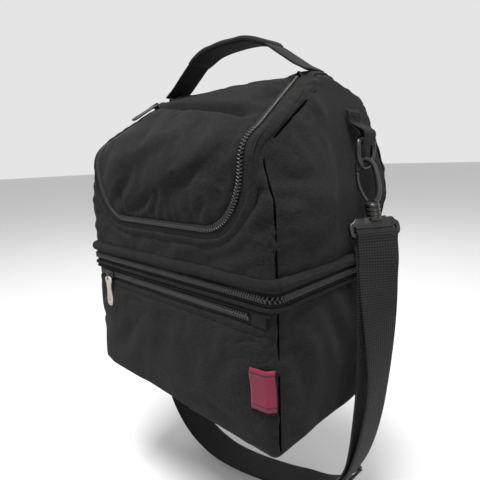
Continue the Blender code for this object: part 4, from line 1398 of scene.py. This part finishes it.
# ------------------------------------------------------------ zips
PITCH = 2.6             # of a zip's coil
SLANT = 0.45


def teeth(name, frames, half_a, half_u, body, replaces, slant):
    """Coil turns as (middle, across, up, along) frames, each a rounded slanting bar."""
    points, faces = [], []
    half_l = PITCH * 0.34
    for at, across, up, along in frames:
        n = len(points)
        for lift, wide, long in ((-1.0, 1.0, 1.0), (0.1, 1.0, 1.0), (0.75, 0.92, 0.72),
                                 (1.0, 0.72, 0.3)):
            for a, l in ((-1, -1), (1, -1), (1, 1), (-1, 1)):
                points.append(at + across * (a * half_a * wide) + up * (lift * half_u)
                              + along * (l * half_l * long + a * slant))
        for j in range(3):
            for m in range(4):
                a, b = n + j * 4 + m, n + j * 4 + (m + 1) % 4
                faces.append((a, b, b + 4, a + 4))
        faces.append((n + 3, n + 2, n + 1, n))
        faces.append((n + 12, n + 13, n + 14, n + 15))
    return piece(sharpen(face_out(mesh_object(name, points, faces)), 50), "coil", body,
                 replaces)


def lid_zip():
    """The lid's zip: coils and tapes, the bindings of both edges, two rows of stitches."""
    fine = zip_stations(PITCH / 2)
    for name, body, middle, start, node_name in (
            ("lid_coil_outer", UP, 1.25, 0, "lid_zip_outer_teeth"),
            ("lid_coil_inner", LID, -1.25, 1, "lid_zip_inner_teeth")):
        frames = []
        for st in fine[start:-1:2]:
            if body == LID and st[0].y > HINGE_S - 2.5:
                continue
            at = on_zip(st, middle, 1.9)
            across = (on_zip(st, middle + 1, 1.9) - at).normalized()
            up = (on_zip(st, middle, 2.9) - at).normalized()
            frames.append((at, across, up, across.cross(up)))
        teeth(name, frames, 1.55, 1.0, body, [node_name], SLANT if start else -SLANT)
    stations = zip_stations(2.4)
    opening = [st for st in stations if st[0].y < HINGE_S - 1.5]
    tape = ((0.05, 0.5), (1.4, 0.75), (2.9, 0.95), (5.0, 1.1), (8.0, 1.15), (10.4, 1.0),
            (11.4, 0.6))
    inner = ((-0.05, 0.5), (-1.5, 0.75), (-3.2, 0.8), (-5.0, 0.4))
    mouth = ((3.4, 0.3), (4.0, -2.0), (4.0, -6.0), (4.2, -8.6), (7.0, -8.8))
    edge = ((-3.4, 0.6), (-4.2, -1.0), (-4.4, -5.0), (-4.8, -7.6), (-9.0, -7.9))
    for name, run, section, thick, look, body, nodes in (
            ("lid_zip_tape", stations, tape, 0.6, "tape", UP, ["lid_zip_outer_tape"]),
            ("lid_inner_tape", opening, inner, 0.5, "tape", LID, []),
            ("lid_mouth_binding", stations, mouth, 0.7, "trim", UP, []),
            ("lid_edge_binding", opening, edge, 0.7, "trim", LID, [])):
        sheet = grid(name, lattice(run, section, lambda st, at: on_zip(st, *at)))
        if look == "tape":
            face_up(thicken(sheet, thick))
        else:
            thicken(sheet, thick, 0.0)
        piece(sheet, look, body, nodes)
    for offset, name in ((7.4, "zip_stitch_outer"), (4.4, "zip_stitch_inner")):
        path = [on_zip(st, offset, 1.12) for st in stations]
        outs = [(on_zip(st, offset, 2.0) - p).normalized() for st, p in zip(stations, path)]
        stitches(name, path, outs, UP)


def mouth_welt():
    """The turned edge of the body's fabric, laid over the zip tape's outer edge."""
    rows = []
    for k, st in enumerate(zip_stations(2.4)):
        full = 1.0 + 0.10 * (math.sin(k * 0.61) + math.sin(k * 0.23 + 1.0) + math.sin(k * 1.37))
        rows.append([on_zip(st, o + 0.25 * math.sin(k * 0.47), l * full if l > 0.5 else l)
                     for o, l in ((8.9, 0.5), (8.6, 1.5), (9.2, 2.3), (10.6, 2.7), (12.6, 2.4),
                                  (14.8, 1.7), (16.6, 1.1), (18.0, 0.2))])
    welt = face_up(thicken(grid("lid_mouth_welt", rows), 0.7))
    slump(welt)
    subdivide(welt)
    piece(welt, "fabric", UP)


SEAM_R = 0.95


def seam_lines():
    """Near-black beads of painted shadow along the seams where panels meet at the corners."""
    for side, sign in SIDES:
        # A matt near-black bead: painted shadow in the corner seam's groove.
        bead = tube("corner_seam_" + side, spline(corner_seam(sign, 1.2), 2), SEAM_R, 8)
        slump(bead)
        piece(bead, "gap", UP)
        for y, name in ((-HALF_D + CORNER, "front"), (HALF_D - CORNER, "rear")):
            # Beads of painted shadow down the lower compartment's corner seams.
            line = [Vector((sign * (HALF_W - 1.0), y, z)) for z in range(6, 122, 6)]
            piece(tube("lower_seam_%s_%s" % (name, side), line, SEAM_R, 8), "gap", LOW)


def face_up(obj):
    """Turn a sheet's faces so that they look away from the bag's middle."""
    mesh = obj.data
    middle = world((0, 0, 150))
    total = sum((p.center - middle).dot(p.normal) for p in mesh.polygons)
    if total < 0:
        mesh.flip_normals()
    return obj


BELT_BACK = 72.0        # where the main zip ends on each side


def belt_path(step):
    """The main zip's line round the front, from the left rear to the right rear."""
    corners = [Vector((-HALF_W, BELT_BACK, 0)), Vector((-HALF_W, -HALF_D, 0)),
               Vector((HALF_W, -HALF_D, 0)), Vector((HALF_W, BELT_BACK, 0))]
    pts = [corners[0]] + fillet(corners[0], corners[1], corners[2], CORNER + 1.0, 8)
    pts += fillet(corners[1], corners[2], corners[3], CORNER + 1.0, 8) + [corners[3]]
    path = resample(pts, step)
    return [(p, Vector((run.y, -run.x, 0)), run) for p, run in zip(path, directions(path))]


def belt_sweep(name, section, look, body, replaces, closed=True, wander=0.0):
    """A section of (outwards, height) points carried along the main zip."""
    mid_o = sum(o for o, _ in section) / len(section)
    mid_z = sum(z for _, z in section) / len(section)
    rows = []
    for k, (p, out, _) in enumerate(belt_path(3.0)):
        pinch = wander * (math.sin(k * 0.83) + math.sin(k * 0.37 + 1.0) + math.sin(k * 1.9))
        rows.append([p + out * (o + (o - mid_o) * pinch)
                     + Vector((0, 0, z + (z - mid_z) * pinch)) for o, z in section])
    obj = grid(name, rows, closed=closed, cap=closed)
    obj = face_out(obj) if closed else face_up(thicken(obj, 0.6))
    return piece(obj, look, body, replaces)


def main_zip():
    """The zip between the compartments, the thick welt above it, the piping below."""
    welt = [(0.2, 136.8), (2.6, 136.1), (5.0, 136.9), (6.6, 138.8), (7.1, 141.2), (6.6, 143.4),
            (5.0, 145.2), (2.8, 146.0), (0.2, 146.2), (-0.8, 141.5)]
    roll = belt_sweep("belt_welt", welt, "trim", UP, ["belt_upper_welt"], wander=0.028)
    subdivide(roll)
    cord = [(2.5 + u, 122.9 + v) for u, v in circle(1.75, 12)]
    belt_sweep("belt_piping", cord, "trim", LOW, ["belt_lower_piping"], wander=0.02)
    flange = [(0.4, 120.6), (1.3, 121.0), (2.4, 121.6)]
    belt_sweep("piping_flange", flange, "trim", LOW, [], closed=False)
    lower = [(1.2, 123.2), (1.7, 125.5), (1.6, 128.4), (1.3, 130.9)]
    upper = [(1.3, 131.1), (1.6, 133.6), (1.6, 136.0), (0.8, 137.6)]
    fine, line = belt_path(PITCH / 2), belt_path(2.0)
    up = Vector((0, 0, 1))
    halves = (("lower", LOW, lower, 0, 129.75, 126.3, 1.75),
              ("upper", UP, upper, 1, 132.25, 134.9, 1.62))
    for half, body, section, *_ in halves:
        belt_sweep("belt_tape_" + half, section, "tape", body, ["belt_%s_tape" % half],
                   closed=False)
    for half, body, _, start, z, _, _ in halves:
        frames = [(p + out * 2.75 + up * z, up, out, run) for p, out, run in fine[start::2]]
        teeth("belt_coil_" + half, frames, 1.5, 1.05, body, ["belt_%s_teeth" % half],
              SLANT if start else -SLANT)
    for half, body, _, _, _, z, off in halves:
        path = [p + out * off + up * z for p, out, _ in line]
        stitches("belt_stitch_" + half, path, [out for _, out, _ in line], body)


def rear_cover():
    """The strip of fabric that joins the two compartments at the back."""
    run = sorted((p for p in box_path(-0.9, 3.0) if p.y > BELT_BACK - 4.0),
                 key=lambda p: math.atan2(p.y - 60, p.x))
    levels = ((120.5, -0.9), (121.5, 0.2), (125, 0.4), (128, 0.5), (130, 0.5), (132, 0.5),
              (134, 0.5), (137, 0.5), (141, 0.4), (145, 0.2), (146, -0.9))
    rows = [[Vector((p.x, p.y, z)) + Vector((p.x / 60, p.y / 20, 0)).normalized() * lift
             for p in run] for z, lift in levels]
    obj = thicken(face_up(grid("rear_hinge_cover", rows)), 0.9)
    piece(obj, "trim", None)
    world((0, 81.5, 126))
    world((0, 81.5, 136))
    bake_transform(obj)
    for z, name, body in ((123.0, "rear_stitch_lower", LOW), (143.0, "rear_stitch_upper", UP)):
        path = [Vector((p.x, p.y + 0.45, z)) for p in run if p.y > HALF_D]
        stitches(name, path, [Vector((0, 1, 0))] * len(path), body)


def pocket_zip():
    """The pocket's zip, the fold of fabric over it and its end tab."""
    y, rise = -HALF_D, POCKET_RISE
    row = lambda y_lift, z: [Vector((x, y - y_lift, z)) for x in range(-122, 112, 3)]
    tape = grid("pocket_tape", [row(l, z + rise) for l, z in ((0.8, 104.2), (1.1, 107.5),
                                                              (1.1, 112.9), (1.1, 118.0))])
    piece(face_up(thicken(tape, 0.6)), "tape", LOW, ["pocket_zip_tape"])
    frames = []
    for k in range(int(2 * POCKET_COIL / PITCH)):
        x = POCKET_COIL_START + k * PITCH / 2
        z = 113.0 + rise + (1.25 if k % 2 else -1.25)
        frames.append((Vector((x, y - 2.2, z)), Vector((0, 0, 1)), Vector((0, -1, 0)),
                       Vector((1, 0, 0))))
    for half, slant in ((0, -SLANT), (1, SLANT)):
        teeth("pocket_coil_%d" % half, frames[half::2], 1.55, 1.0, LOW,
              [] if half else ["pocket_zip_teeth"], slant)
    fold = ((116.6, 1.0), (116.4, 2.0), (117.2, 2.5), (118.4, 2.2), (119.4, 1.2), (119.9, 0.3))
    rows = [[Vector((x, y - l - 0.2 * math.sin(x * 0.11), z + rise)) for x in range(-127, 129, 3)]
            for z, l in fold]
    piece(face_up(thicken(grid("pocket_zip_fold", rows), 0.8)), "fabric", LOW)
    lo, hi = box_mm("pocket_zip_end_tab")
    lo.z, hi.z = lo.z + rise, hi.z + rise
    end_tab = pillow("pocket_end_tab", lo, hi, 0.5)
    piece(end_tab, "fabric", LOW, ["pocket_zip_end_tab"])
    loop = [(lo.x + 2, lo.z + 2), (hi.x - 2, lo.z + 2), (hi.x - 2, hi.z - 2), (lo.x + 2, hi.z - 2),
            (lo.x + 2, lo.z + 2)]
    path = resample([Vector((x, lo.y - 0.35, z)) for x, z in loop], 1.0)
    stitches("end_tab_stitch", path, [Vector((0, -1, 0))] * len(path), LOW, 2.6, 1.9)


def box_mm(name):
    """A CAD node's box in the bag's millimetres."""
    lo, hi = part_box(name)
    return (lo - ORIGIN) / MM, (hi - ORIGIN) / MM


def pillow(name, lo, hi, swell):
    """A thin patch facing the front, softly crowned, its back against the bag."""
    def point(z, x):
        edge = min(x - lo.x, hi.x - x, z - lo.z, hi.z - z)
        return Vector((x, lo.y - swell * ease(edge / 2.5), z))

    rows = lattice(steps(lo.z, hi.z, 10), steps(lo.x, hi.x, 10), point)
    return face_up(thicken(grid(name, rows), 1.0))


# ------------------------------------------------------------ sliders and pulls
def flat_plate(name, loops, thick, edge):
    """A mesh plate from 2D loops, the later ones being holes."""
    curve = bpy.data.curves.new(name, "CURVE")
    curve.dimensions = "2D"
    curve.fill_mode = "BOTH"
    curve.extrude = (thick / 2 - edge) * MM
    curve.bevel_depth = edge * MM
    curve.bevel_resolution = 2
    for loop in loops:
        line = curve.splines.new("POLY")
        line.points.add(len(loop) - 1)
        line.use_cyclic_u = True
        for point, (u, v) in zip(line.points, loop):
            point.co = (u * MM, v * MM, 0.0, 1.0)
    holder = bpy.data.objects.new(name, curve)
    bpy.context.scene.collection.objects.link(holder)
    bpy.context.view_layer.update()
    graph = bpy.context.evaluated_depsgraph_get()
    mesh = bpy.data.meshes.new_from_object(holder.evaluated_get(graph))
    bpy.data.objects.remove(holder)
    bm = bmesh.new()
    bm.from_mesh(mesh)
    bmesh.ops.remove_doubles(bm, verts=bm.verts, dist=1e-6)
    bmesh.ops.recalc_face_normals(bm, faces=bm.faces)
    bm.to_mesh(mesh)
    bm.free()
    mesh.shade_smooth()
    mesh.set_sharp_from_angle(angle=math.radians(50))
    obj = bpy.data.objects.new(name, mesh)
    bpy.context.scene.collection.objects.link(obj)
    return obj


def loop_round(points, radius, steps=5):
    """A closed outline with every corner rounded."""
    pts = [Vector((u, v, 0)) for u, v in points]
    out = []
    for i, here in enumerate(pts):
        before, after = pts[i - 1], pts[(i + 1) % len(pts)]
        reach = min((before - here).length, (after - here).length) * 0.49
        half = (before - here).angle(after - here) / 2
        if math.degrees(half) > 87:
            out.append((here.x, here.y))
            continue
        r = min(radius, reach * math.tan(half))
        out += [(q.x, q.y) for q in fillet(before, here, after, r, steps)]
    return out


def placed(obj, at, along, out):
    """Carry an object drawn flat into a frame: its x along, its z out."""
    along, out = along.normalized(), out.normalized()
    spin = Matrix((along, out.cross(along), out)).transposed().to_4x4()
    obj.data.transform(Matrix.Translation(world(at)) @ spin)
    return obj


def make_slider(prefix, along, out, pull_look, hang_dir):
    """A zip slider with its bridge, and a pull on a small wire loop."""
    block, pull = prefix + "_slider_block", prefix + "_pull_tab"
    body, pull_body = prefix + "_slider", prefix + "_pull"
    lo, hi = box_mm(block)
    at = (lo + hi) / 2
    lo, hi = box_mm(pull)
    along, out, hang_dir = Vector(along), Vector(out), Vector(hang_dir)
    outline = loop_round([(-6.4, -3.0), (-3.5, -4.3), (3.0, -4.3), (6.4, -2.6), (6.4, 2.6),
                          (3.0, 4.3), (-3.5, 4.3), (-6.4, 3.0)], 1.6)
    parts = [placed(flat_plate("plate", [outline], 1.5, 0.45), at + out * 0.3, along, out)]
    parts.append(placed(flat_plate("skirt", [[(u * 0.9, v * 0.86) for u, v in outline]], 1.3, 0.3),
                        at - out * 0.75, along, out))
    arch = [at + along * u + out * v for u, v in ((-4.6, 0.7), (-4.0, 1.1), (-1.8, 1.3),
                                                  (1.8, 1.3), (4.0, 1.1), (4.6, 0.7))]
    side = along.cross(out)
    arch = spline(arch, 3)
    parts.append(sweep("bridge", arch, [side] * len(arch), rounded_box_section(1.5, 0.5, 0.35)))
    for obj in parts:
        flatten_modifiers(obj)
    piece(sharpen(join(parts, body), 45), "metal", body, [block])
    length = max((hi - lo).length * 0.97, 26.0)
    hinge = at + out * 2.6 + hang_dir * 1.5
    right = [(0.6, 2.6), (2.2, 5.4), (6.4, 5.4), (7.6, 4.0), (length * 0.45, 3.3),
             (length * 0.66, 3.9), (length - 7, 5.0), (length - 1.6, 4.4), (length, 2.2)]
    outline = loop_round([(u, -v) for u, v in right] + right[::-1], 1.8, 3)
    eye = [(3.6 + 1.1 * u, 1.6 * v) for u, v in circle(1.0, 14)]
    hole = [(length - 5.6 + 1.7 * u, 1.7 * v) for u, v in circle(1.0, 16)]
    tab = placed(flat_plate(pull_body, [outline, eye, hole], 1.7, 0.5), hinge, hang_dir, out)
    piece(tab, pull_look, pull_body, [pull])
    ring = [hinge + out * (1.5 * math.sin(a)) + hang_dir * (1.2 + 2.6 * math.cos(a))
            for a in [2 * math.pi * k / 16 for k in range(17)]]
    piece(tube(pull_body + "_loop", ring, 0.55, 8, across=[side] * 17), "metal", pull_body)


def flatten_modifiers(obj):
    """Apply what an object's modifiers make of it."""
    if obj.modifiers:
        graph = bpy.context.evaluated_depsgraph_get()
        obj.data = bpy.data.meshes.new_from_object(obj.evaluated_get(graph))
        obj.modifiers.clear()


LID_RUN = Vector((-14.5, -64.0, -39.7)).normalized()     # down the lid's left edge
LID_OUT = Vector((0.0, -0.527, 0.85))                    # off the lid's slope


def make_sliders():
    """The three zips' sliders, parked where the CAD has them."""
    down, front, left = Vector((0, 0, -1)), Vector((0, -1, 0)), Vector((-1, 0, 0))
    make_slider("pocket", (1, 0, 0), front, "pull", down)
    make_slider("lid", LID_RUN, LID_OUT, "metal", LID_RUN)
    make_slider("belt", front, left, "metal", down)


LABEL_W = 21.0


def side_label(tree):
    """A folded woven label caught in the corner seam, hanging straight down the front."""
    lo, hi = box_mm("side_label")
    front = Vector((0, -1, 0))
    left = HALF_W - LABEL_W + 1.8
    rows = []
    for z in steps(lo.z, hi.z, 16):
        proud = min(settle(tree, Vector((left + k, -HALF_D, z)), front).y for k in (1, 6, 12))
        rows.append([Vector((left + LABEL_W * t,
                             proud - 1.2 - 0.7 * (1 - t) ** 2 - 0.15 * math.sin(z * 0.2)
                             + 5.0 * ease((t - 0.72) / 0.28), z + 1.5 * (t - 1)))
                     for t in steps(0.0, 1.0, 12)])
    obj = thicken(face_up(grid("side_label_patch", rows)), 0.7)
    piece(obj, "label", LOW, ["side_label"])


# ------------------------------------------------------------ carry handle
HANDLE_RIGHT = [(97, 301.8), (91, 305.2), (84, 309.0), (68, 320.0), (52, 330.5),
                (34, 338.0), (14, 340.6)]
HANDLE_FOOT, HANDLE_TOP = 303.4, 341.0
GRIP_HALF = 53.0


def box_stitch(name, corners, outs, body):
    """A boxed cross of stitches through four corners."""
    a, b, c, d = corners
    for k, line in enumerate(([a, b, c, d, a], [a, c], [b, d])):
        path = resample(line, 1.0)
        stitches("%s_%d" % (name, k), path, [outs] * len(path), body, 2.8, 2.1)


def carry_handle():
    """The webbing arch, the padded grip sleeve round its middle and its stitches."""
    points = [Vector((x, RIDGE[0], z)) for x, z in HANDLE_RIGHT]
    points = points + [Vector((-p.x, p.y, p.z)) for p in reversed(points)]
    path = spline(points, 6)
    across = [Vector((0, 1, 0))] * len(path)
    webbing = sweep("handle_strap", path, across, web_section(HANDLE_W, 2.2))
    piece(webbing, "handle", UP, ["handle_webbing"])
    foot, top = world((0, RIDGE[0], HANDLE_FOOT)), world((0, RIDGE[0], HANDLE_TOP))
    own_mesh(webbing)
    grip = [p for p in path if abs(p.x) <= GRIP_HALF]
    ups = [run.cross(Vector((0, 1, 0))) for run in directions(grip)]
    ups = [up if up.z > 0 else -up for up in ups]
    rows = []
    for k, (p, up) in enumerate(zip(grip, ups)):
        end = ease(min(k, len(grip) - 1 - k) / 2.5)
        half_w, half_t = HANDLE_W / 2 + 0.7 + 0.9 * end, 1.7 + 1.1 * end
        half_w += 0.15 * math.sin(k * 1.3)
        section = rounded_box_section(half_w, half_t, half_t * 0.9, 4)
        rows.append([p + Vector((0, u, 0)) + up * (v + 0.25 * math.sin(k * 0.9) * (v > 0))
                     for u, v in section])
    sleeve = face_out(grid("handle_sleeve", rows, closed=True, cap=True))
    piece(sleeve, "handle", "carry_handle", ["handle_grip"])
    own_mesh(sleeve)
    for y in (-11.5, 11.5):
        line = [p + Vector((0, y, 0)) + up * 2.75 for p, up in zip(grip, ups)]
        made = stitches("sleeve_stitch_%d" % (y > 0), line, [Vector((0, 0, 1))] * len(line),
                        "carry_handle")
        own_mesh(made)


def handle_anchors(tree):
    """The webbing's ends, turned down over the ridge and sewn in a box."""
    up = Vector((0, 0, 1))

    def on_top(x, y, lift):
        return settle(tree, Vector((x, y, 300)), up, 0.0, 20.0) + Vector((0, 0, lift))

    for side, _ in SIDES:
        lo, hi = box_mm("handle_anchor_" + side)
        ys = [RIDGE[0] - HANDLE_W / 2 + HANDLE_W * r / 14 for r in range(15)]
        rows = lattice(ys, steps(lo.x, hi.x, 10), lambda y, x: on_top(x, y, 1.5))
        patch = subdivide(thicken(face_up(grid("handle_end_" + side, rows)), 1.8))
        piece(patch, "handle", UP, ["handle_anchor_" + side])
        corners = [on_top(x, RIDGE[0] + y, 1.75)
                   for x, y in ((lo.x + 4, -10), (hi.x - 3, -10), (hi.x - 3, 10), (lo.x + 4, 10))]
        box_stitch("handle_box_" + side, corners, up, UP)


# ------------------------------------------------------------ rings, tabs and hooks
def d_ring(side, sign):
    """A moulded D-ring, its straight bar at the top."""
    at = Vector((sign * RING_AT.x, RING_AT.y, RING_AT.z))
    pts = [(-8, 9.0), (0, 9.0), (8, 9.0), (12.0, 8.0), (13.2, 4.5), (13.0, 0.0)]
    pts += [(RING_R * math.cos(a), RING_R * math.sin(a))
            for a in [-math.pi * k / 10 for k in range(1, 10)]]
    pts += [(-13.0, 0.0), (-13.2, 4.5), (-12.0, 8.0), (-8, 9.0)]
    path = spline([at + Vector((0, u, v)) for u, v in pts], 4)
    ring = tube("d_ring_" + side + "_moulding", path, 2.2, 14,
                across=[X] * len(path))
    piece(ring, "plastic", UP, ["d_ring_" + side])


def ring_tab(side, sign):
    """A folded fabric tab, sewn to the side and looped round the D-ring's bar."""
    bar = Vector((sign * RING_AT.x, RING_AT.y, RING_AT.z + 9.0))
    wall = lambda z, off: Vector((sign * (half_width(z) + off), RING_AT.y, z))
    pts = [wall(268, 3.4), wall(264, 5.0), wall(257, 5.4), bar + Vector((sign * 2.6, 0, 8.0)),
           bar + Vector((sign * 3.5, 0, 1.5)), bar + Vector((sign * 2.6, 0, -2.6)),
           bar + Vector((0, 0, -3.7)), bar + Vector((-sign * 2.5, 0, -2.5)),
           bar + Vector((-sign * 3.3, 0, 1.5)), bar + Vector((-sign * 2.0, 0, 7.0)),
           wall(257, 3.6), wall(264, 3.2), wall(268, 2.0)]
    path = spline(pts, 4)
    tab = sweep("ring_tab_" + side, path, [Vector((0, 1, 0))] * len(path), web_section(19.0, 1.3))
    piece(tab, "handle", UP, ["strap_tab_" + side])
    out = Vector((sign, 0, 0.1)).normalized()
    corners = [wall(z, off) + Vector((0, y, 0)) for z, off, y in
               ((265.5, 5.7, -7.5), (265.5, 5.7, 7.5), (256, 6.3, 7.5), (256, 6.3, -7.5))]
    box_stitch("tab_box_" + side, corners, out, UP)


def hook_space(sign, u, z):
    """A point in the hook's plane: u across it, z up."""
    return hang(sign, z) + Vector((sign * u * math.cos(HOOK_TURN), u * math.sin(HOOK_TURN), 0.0))


def snap_hook(side, sign):
    """A one-piece spine with its eye, and the thin sprung gate."""
    flat = Vector((sign * math.cos(HOOK_TURN), math.sin(HOOK_TURN), 0.0)).cross(
        Vector((0, 0, 1)))
    spine = [(3.2, 190.0), (6.2, 194.0), (8.0, 200.0), (8.3, 207), (8.0, 213), (6.9, 220),
             (3.8, 224.9), (0.0, 226.3), (-3.9, 224.6), (-6.4, 220.6), (-7.1, 216.6)]
    path = spline([hook_space(sign, u, z) for u, z in spine], 5)
    last = len(path) - 1
    radii = [2.7 - 0.5 * ease(k / last * 1.3) - 0.5 * ease((k / last - 0.86) / 0.14)
             for k in range(len(path))]
    bar = tube("hook_spine_" + side + "_moulding", path, radii, 16, flat=1.12)
    piece(bar, "plastic", "shoulder_strap", ["hook_spine_" + side])
    gate = [(-2.4, 190.6), (-4.4, 194.0), (-6.6, 200.0), (-7.9, 206.5), (-7.8, 211.0),
            (-7.3, 214.4)]
    path = spline([hook_space(sign, u, z) for u, z in gate], 5)
    radii = [1.7 - 0.35 * math.sin(math.pi * t) for t in steps(0.0, 1.0, len(path) - 1)]
    arm = tube("hook_gate_" + side + "_moulding", path, radii, 12, across=[flat] * len(path))
    piece(arm, "plastic", "snap_gate_" + side, ["hook_gate_" + side])
    return bar, arm


def swivel(side, sign):
    """The ribbed barrel under the hook, and the frame that holds the webbing."""
    wide = Vector((sign * math.cos(FRAME_TURN), math.sin(FRAME_TURN), 0.0))
    lean = (hang(sign, 170) - hang(sign, 180)).normalized()
    rings = [(174.6, 5.4), (175.4, 6.4), (177.2, 6.6), (177.9, 5.7), (179.0, 5.7), (179.6, 6.6),
             (181.0, 6.6), (181.6, 5.7), (182.7, 5.7), (183.3, 6.6), (184.7, 6.6), (185.3, 5.7),
             (186.3, 5.8), (187.0, 6.5), (188.6, 6.4), (189.6, 5.2), (190.6, 3.8)]
    rows = lattice(rings, circle(1.0, 24), lambda at, uv: hook_space(sign, 0.9, at[0])
                   + Vector((uv[0] * at[1], uv[1] * at[1], 0)))
    barrel = face_out(grid("barrel", rows, closed=True, cap=True))
    loop = [Vector((0, BAR_Z, 0))]
    corners = [Vector((-22.2, BAR_Z, 0)), Vector((22.2, BAR_Z, 0)), Vector((22.2, 172.4, 0)),
               Vector((-22.2, 172.4, 0))]
    for i in (1, 2, 3, 0):
        loop += fillet(corners[i - 1], corners[i], corners[(i + 1) % 4], 2.6, 5)
    loop = resample(loop + loop[:1], 2.0)[:-1]
    rows = []
    for i, p in enumerate(loop):
        run = (loop[(i + 1) % len(loop)] - loop[i - 1]).normalized()
        inward = Vector((-run.y, run.x, 0))
        heavy = 4.6 if p.y > 170 and abs(p.x) < 19.5 else 2.0
        row = []
        for u, v in rounded_box_section(heavy, 2.0, 1.0, 3):
            q = p + inward * u
            row.append(hang(sign, q.y) + wide * q.x + wide.cross(lean).normalized() * v)
        rows.append(row)
    hoop = face_out(grid("hoop", rows + [rows[0]], closed=True))
    shoulder = [hang(sign, z) + wide * 0.8 * sign for z in (177.6, 175.0, 172.6)]
    block = sweep("shoulder", shoulder, [wide] * 3, rounded_box_section(11.0, 2.3, 1.4))
    whole = sharpen(join([barrel, hoop, block], "swivel_frame_" + side + "_moulding"), 40)
    return piece(whole, "plastic", "shoulder_strap", ["swivel_frame_" + side])


# ------------------------------------------------------------ inside
INNER_CUT = 5.0         # the inner layers stop this far outside the lid's zip


def layer_inside(name, lift):
    """The upper compartment's wall at one depth: the wrap and both sides."""
    gone, wide = set(), 44

    def point(r, c):
        s = PROFILE_LENGTH * r / 70
        base, out = profile_at(s)
        x = (half_width(base.z) + lift) * (2 * c / wide - 1)
        if s < HINGE_S + 4 and lid_distance(x, s) < INNER_CUT:
            gone.add((r, c))
        return Vector((x, 0, 0)) + base + out * lift

    rows = lattice(range(71), range(wide + 1), point)
    strip = grid(name + "_strip", rows, keep=lambda r, c: not all(
        q in gone for q in ((r, c), (r + 1, c), (r, c + 1), (r + 1, c + 1))))
    drop_loose(strip)
    sides = [side_grid("inner", sign, -lift, 0.0, -lift)[0] for _, sign in SIDES]
    whole = join([strip] + sides, name)
    slump(whole)
    return whole


def evened(ring, count):
    """A closed ring resampled to the given number of points."""
    closed = ring + [ring[0]]
    return resample(closed, running(closed)[-1] / count)[:-1]


def linings():
    """Foam and foil of both compartments and the lid, the rims' bindings, the divider."""
    foam = layer_inside("upper_foam", -2.9)
    boards = [n for n in frame["nodes"] if n.startswith("upper_foam")]
    piece(thicken(foam, 4.2), "foam", UP, boards)
    upper = layer_inside("upper_foil", -7.8)
    piece(thicken(upper, 0.4, 0.0), "foil", UP, ["upper_lining"])
    rows = lattice(lid_rows(4.4, HINGE_S - 2.0), range(41),
                   lambda at, c: form(at[0] * (2 * c / 40 - 1), at[1], -7.4))
    under = grid("lid_foil", rows)
    ripple(under, 30.0, 0.25, 41)
    piece(thicken(under, 0.5, 0.0), "foil", LID, ["lid_lining"])
    ring = box_path(7.9, 5.0, 12.0)
    levels = [(1.0, z) for z in (126.5, 120, 100, 80, 60, 40, 22, 9.5)]
    levels += [(0.97, 7.8), (0.5, 7.6), (0.02, 7.6)]
    rows = lattice(levels, ring, lambda at, p: p * at[0] + Vector((0, 0, at[1])))
    lower = grid("lower_foil", rows, closed=True)
    piece(thicken(lower, 0.4, 0.0), "foil", LOW, ["lower_lining"])
    outer = box_path(1.3, 3.0)
    inner = evened(box_path(8.2, 3.0, 12.0), len(outer))
    lower_rim = ((0.0, 124.5), (0.0, 128.2), (0.12, 129.2), (0.5, 129.6), (0.88, 128.6),
                 (1.0, 127.0), (1.0, 123.5))
    upper_rim = ((0.0, 137.0), (0.0, 133.0), (0.12, 131.9), (0.5, 131.4), (0.88, 131.9),
                 (1.0, 133.2), (1.0, 137.0))
    for name, rim, body in (("lower_rim_binding", lower_rim, LOW),
                            ("upper_rim_binding", upper_rim, UP)):
        rows = [[a.lerp(b, t) + Vector((0, 0, z)) for a, b in zip(outer, inner)]
                for t, z in rim]
        piece(thicken(grid(name, rows, closed=True), 0.6, 0.0), "trim", body)
    panel = [[p + Vector((0, 0, z)) for p in box_path(4.0 + inset, 4.0, 10.0)]
             for z, inset in ((133.4, 4.0), (132.9, 1.4), (134.2, 0.2), (141.0, 0.2),
                              (142.6, 2.0), (143.0, 6.0))]
    count = min(len(row) for row in panel)
    panel = [evened(row, count)[:count] for row in panel]
    board = face_out(grid("divider_cover", panel, closed=True, cap=True))
    piece(board, "foil", UP, ["divider_panel"])
    for name, obj in frame["nodes"].items():
        if "foam" in name:
            if not obj.material_slots:
                obj.data.materials.append(None)
            for holder in obj.material_slots:
                holder.material = MATERIALS["foam"]


def hem_stitch(tree):
    """The top-stitching of the pocket's hem."""
    front = Vector((0, -1, 0))
    path = [settle(tree, Vector((x, -HALF_D, POCKET_TOP - 4.8)), front, 0.1)
            for x in range(-124, 125, 2)]
    stitches("pocket_hem_stitch", path, [front] * len(path), LOW)


make_materials()
make_camera()
make_stage()
make_strap()
make_fabric()
cloth = tree_of([bpy.data.objects[n] for n in ("upper_fabric", "lid_fabric", "pocket_fabric")])
lid_zip()
mouth_welt()
seam_lines()
main_zip()
rear_cover()
pocket_zip()
make_sliders()
side_label(cloth)
hem_stitch(cloth)
carry_handle()
handle_anchors(cloth)
for side_name, side_sign in SIDES:
    d_ring(side_name, side_sign)
    ring_tab(side_name, side_sign)
linings()
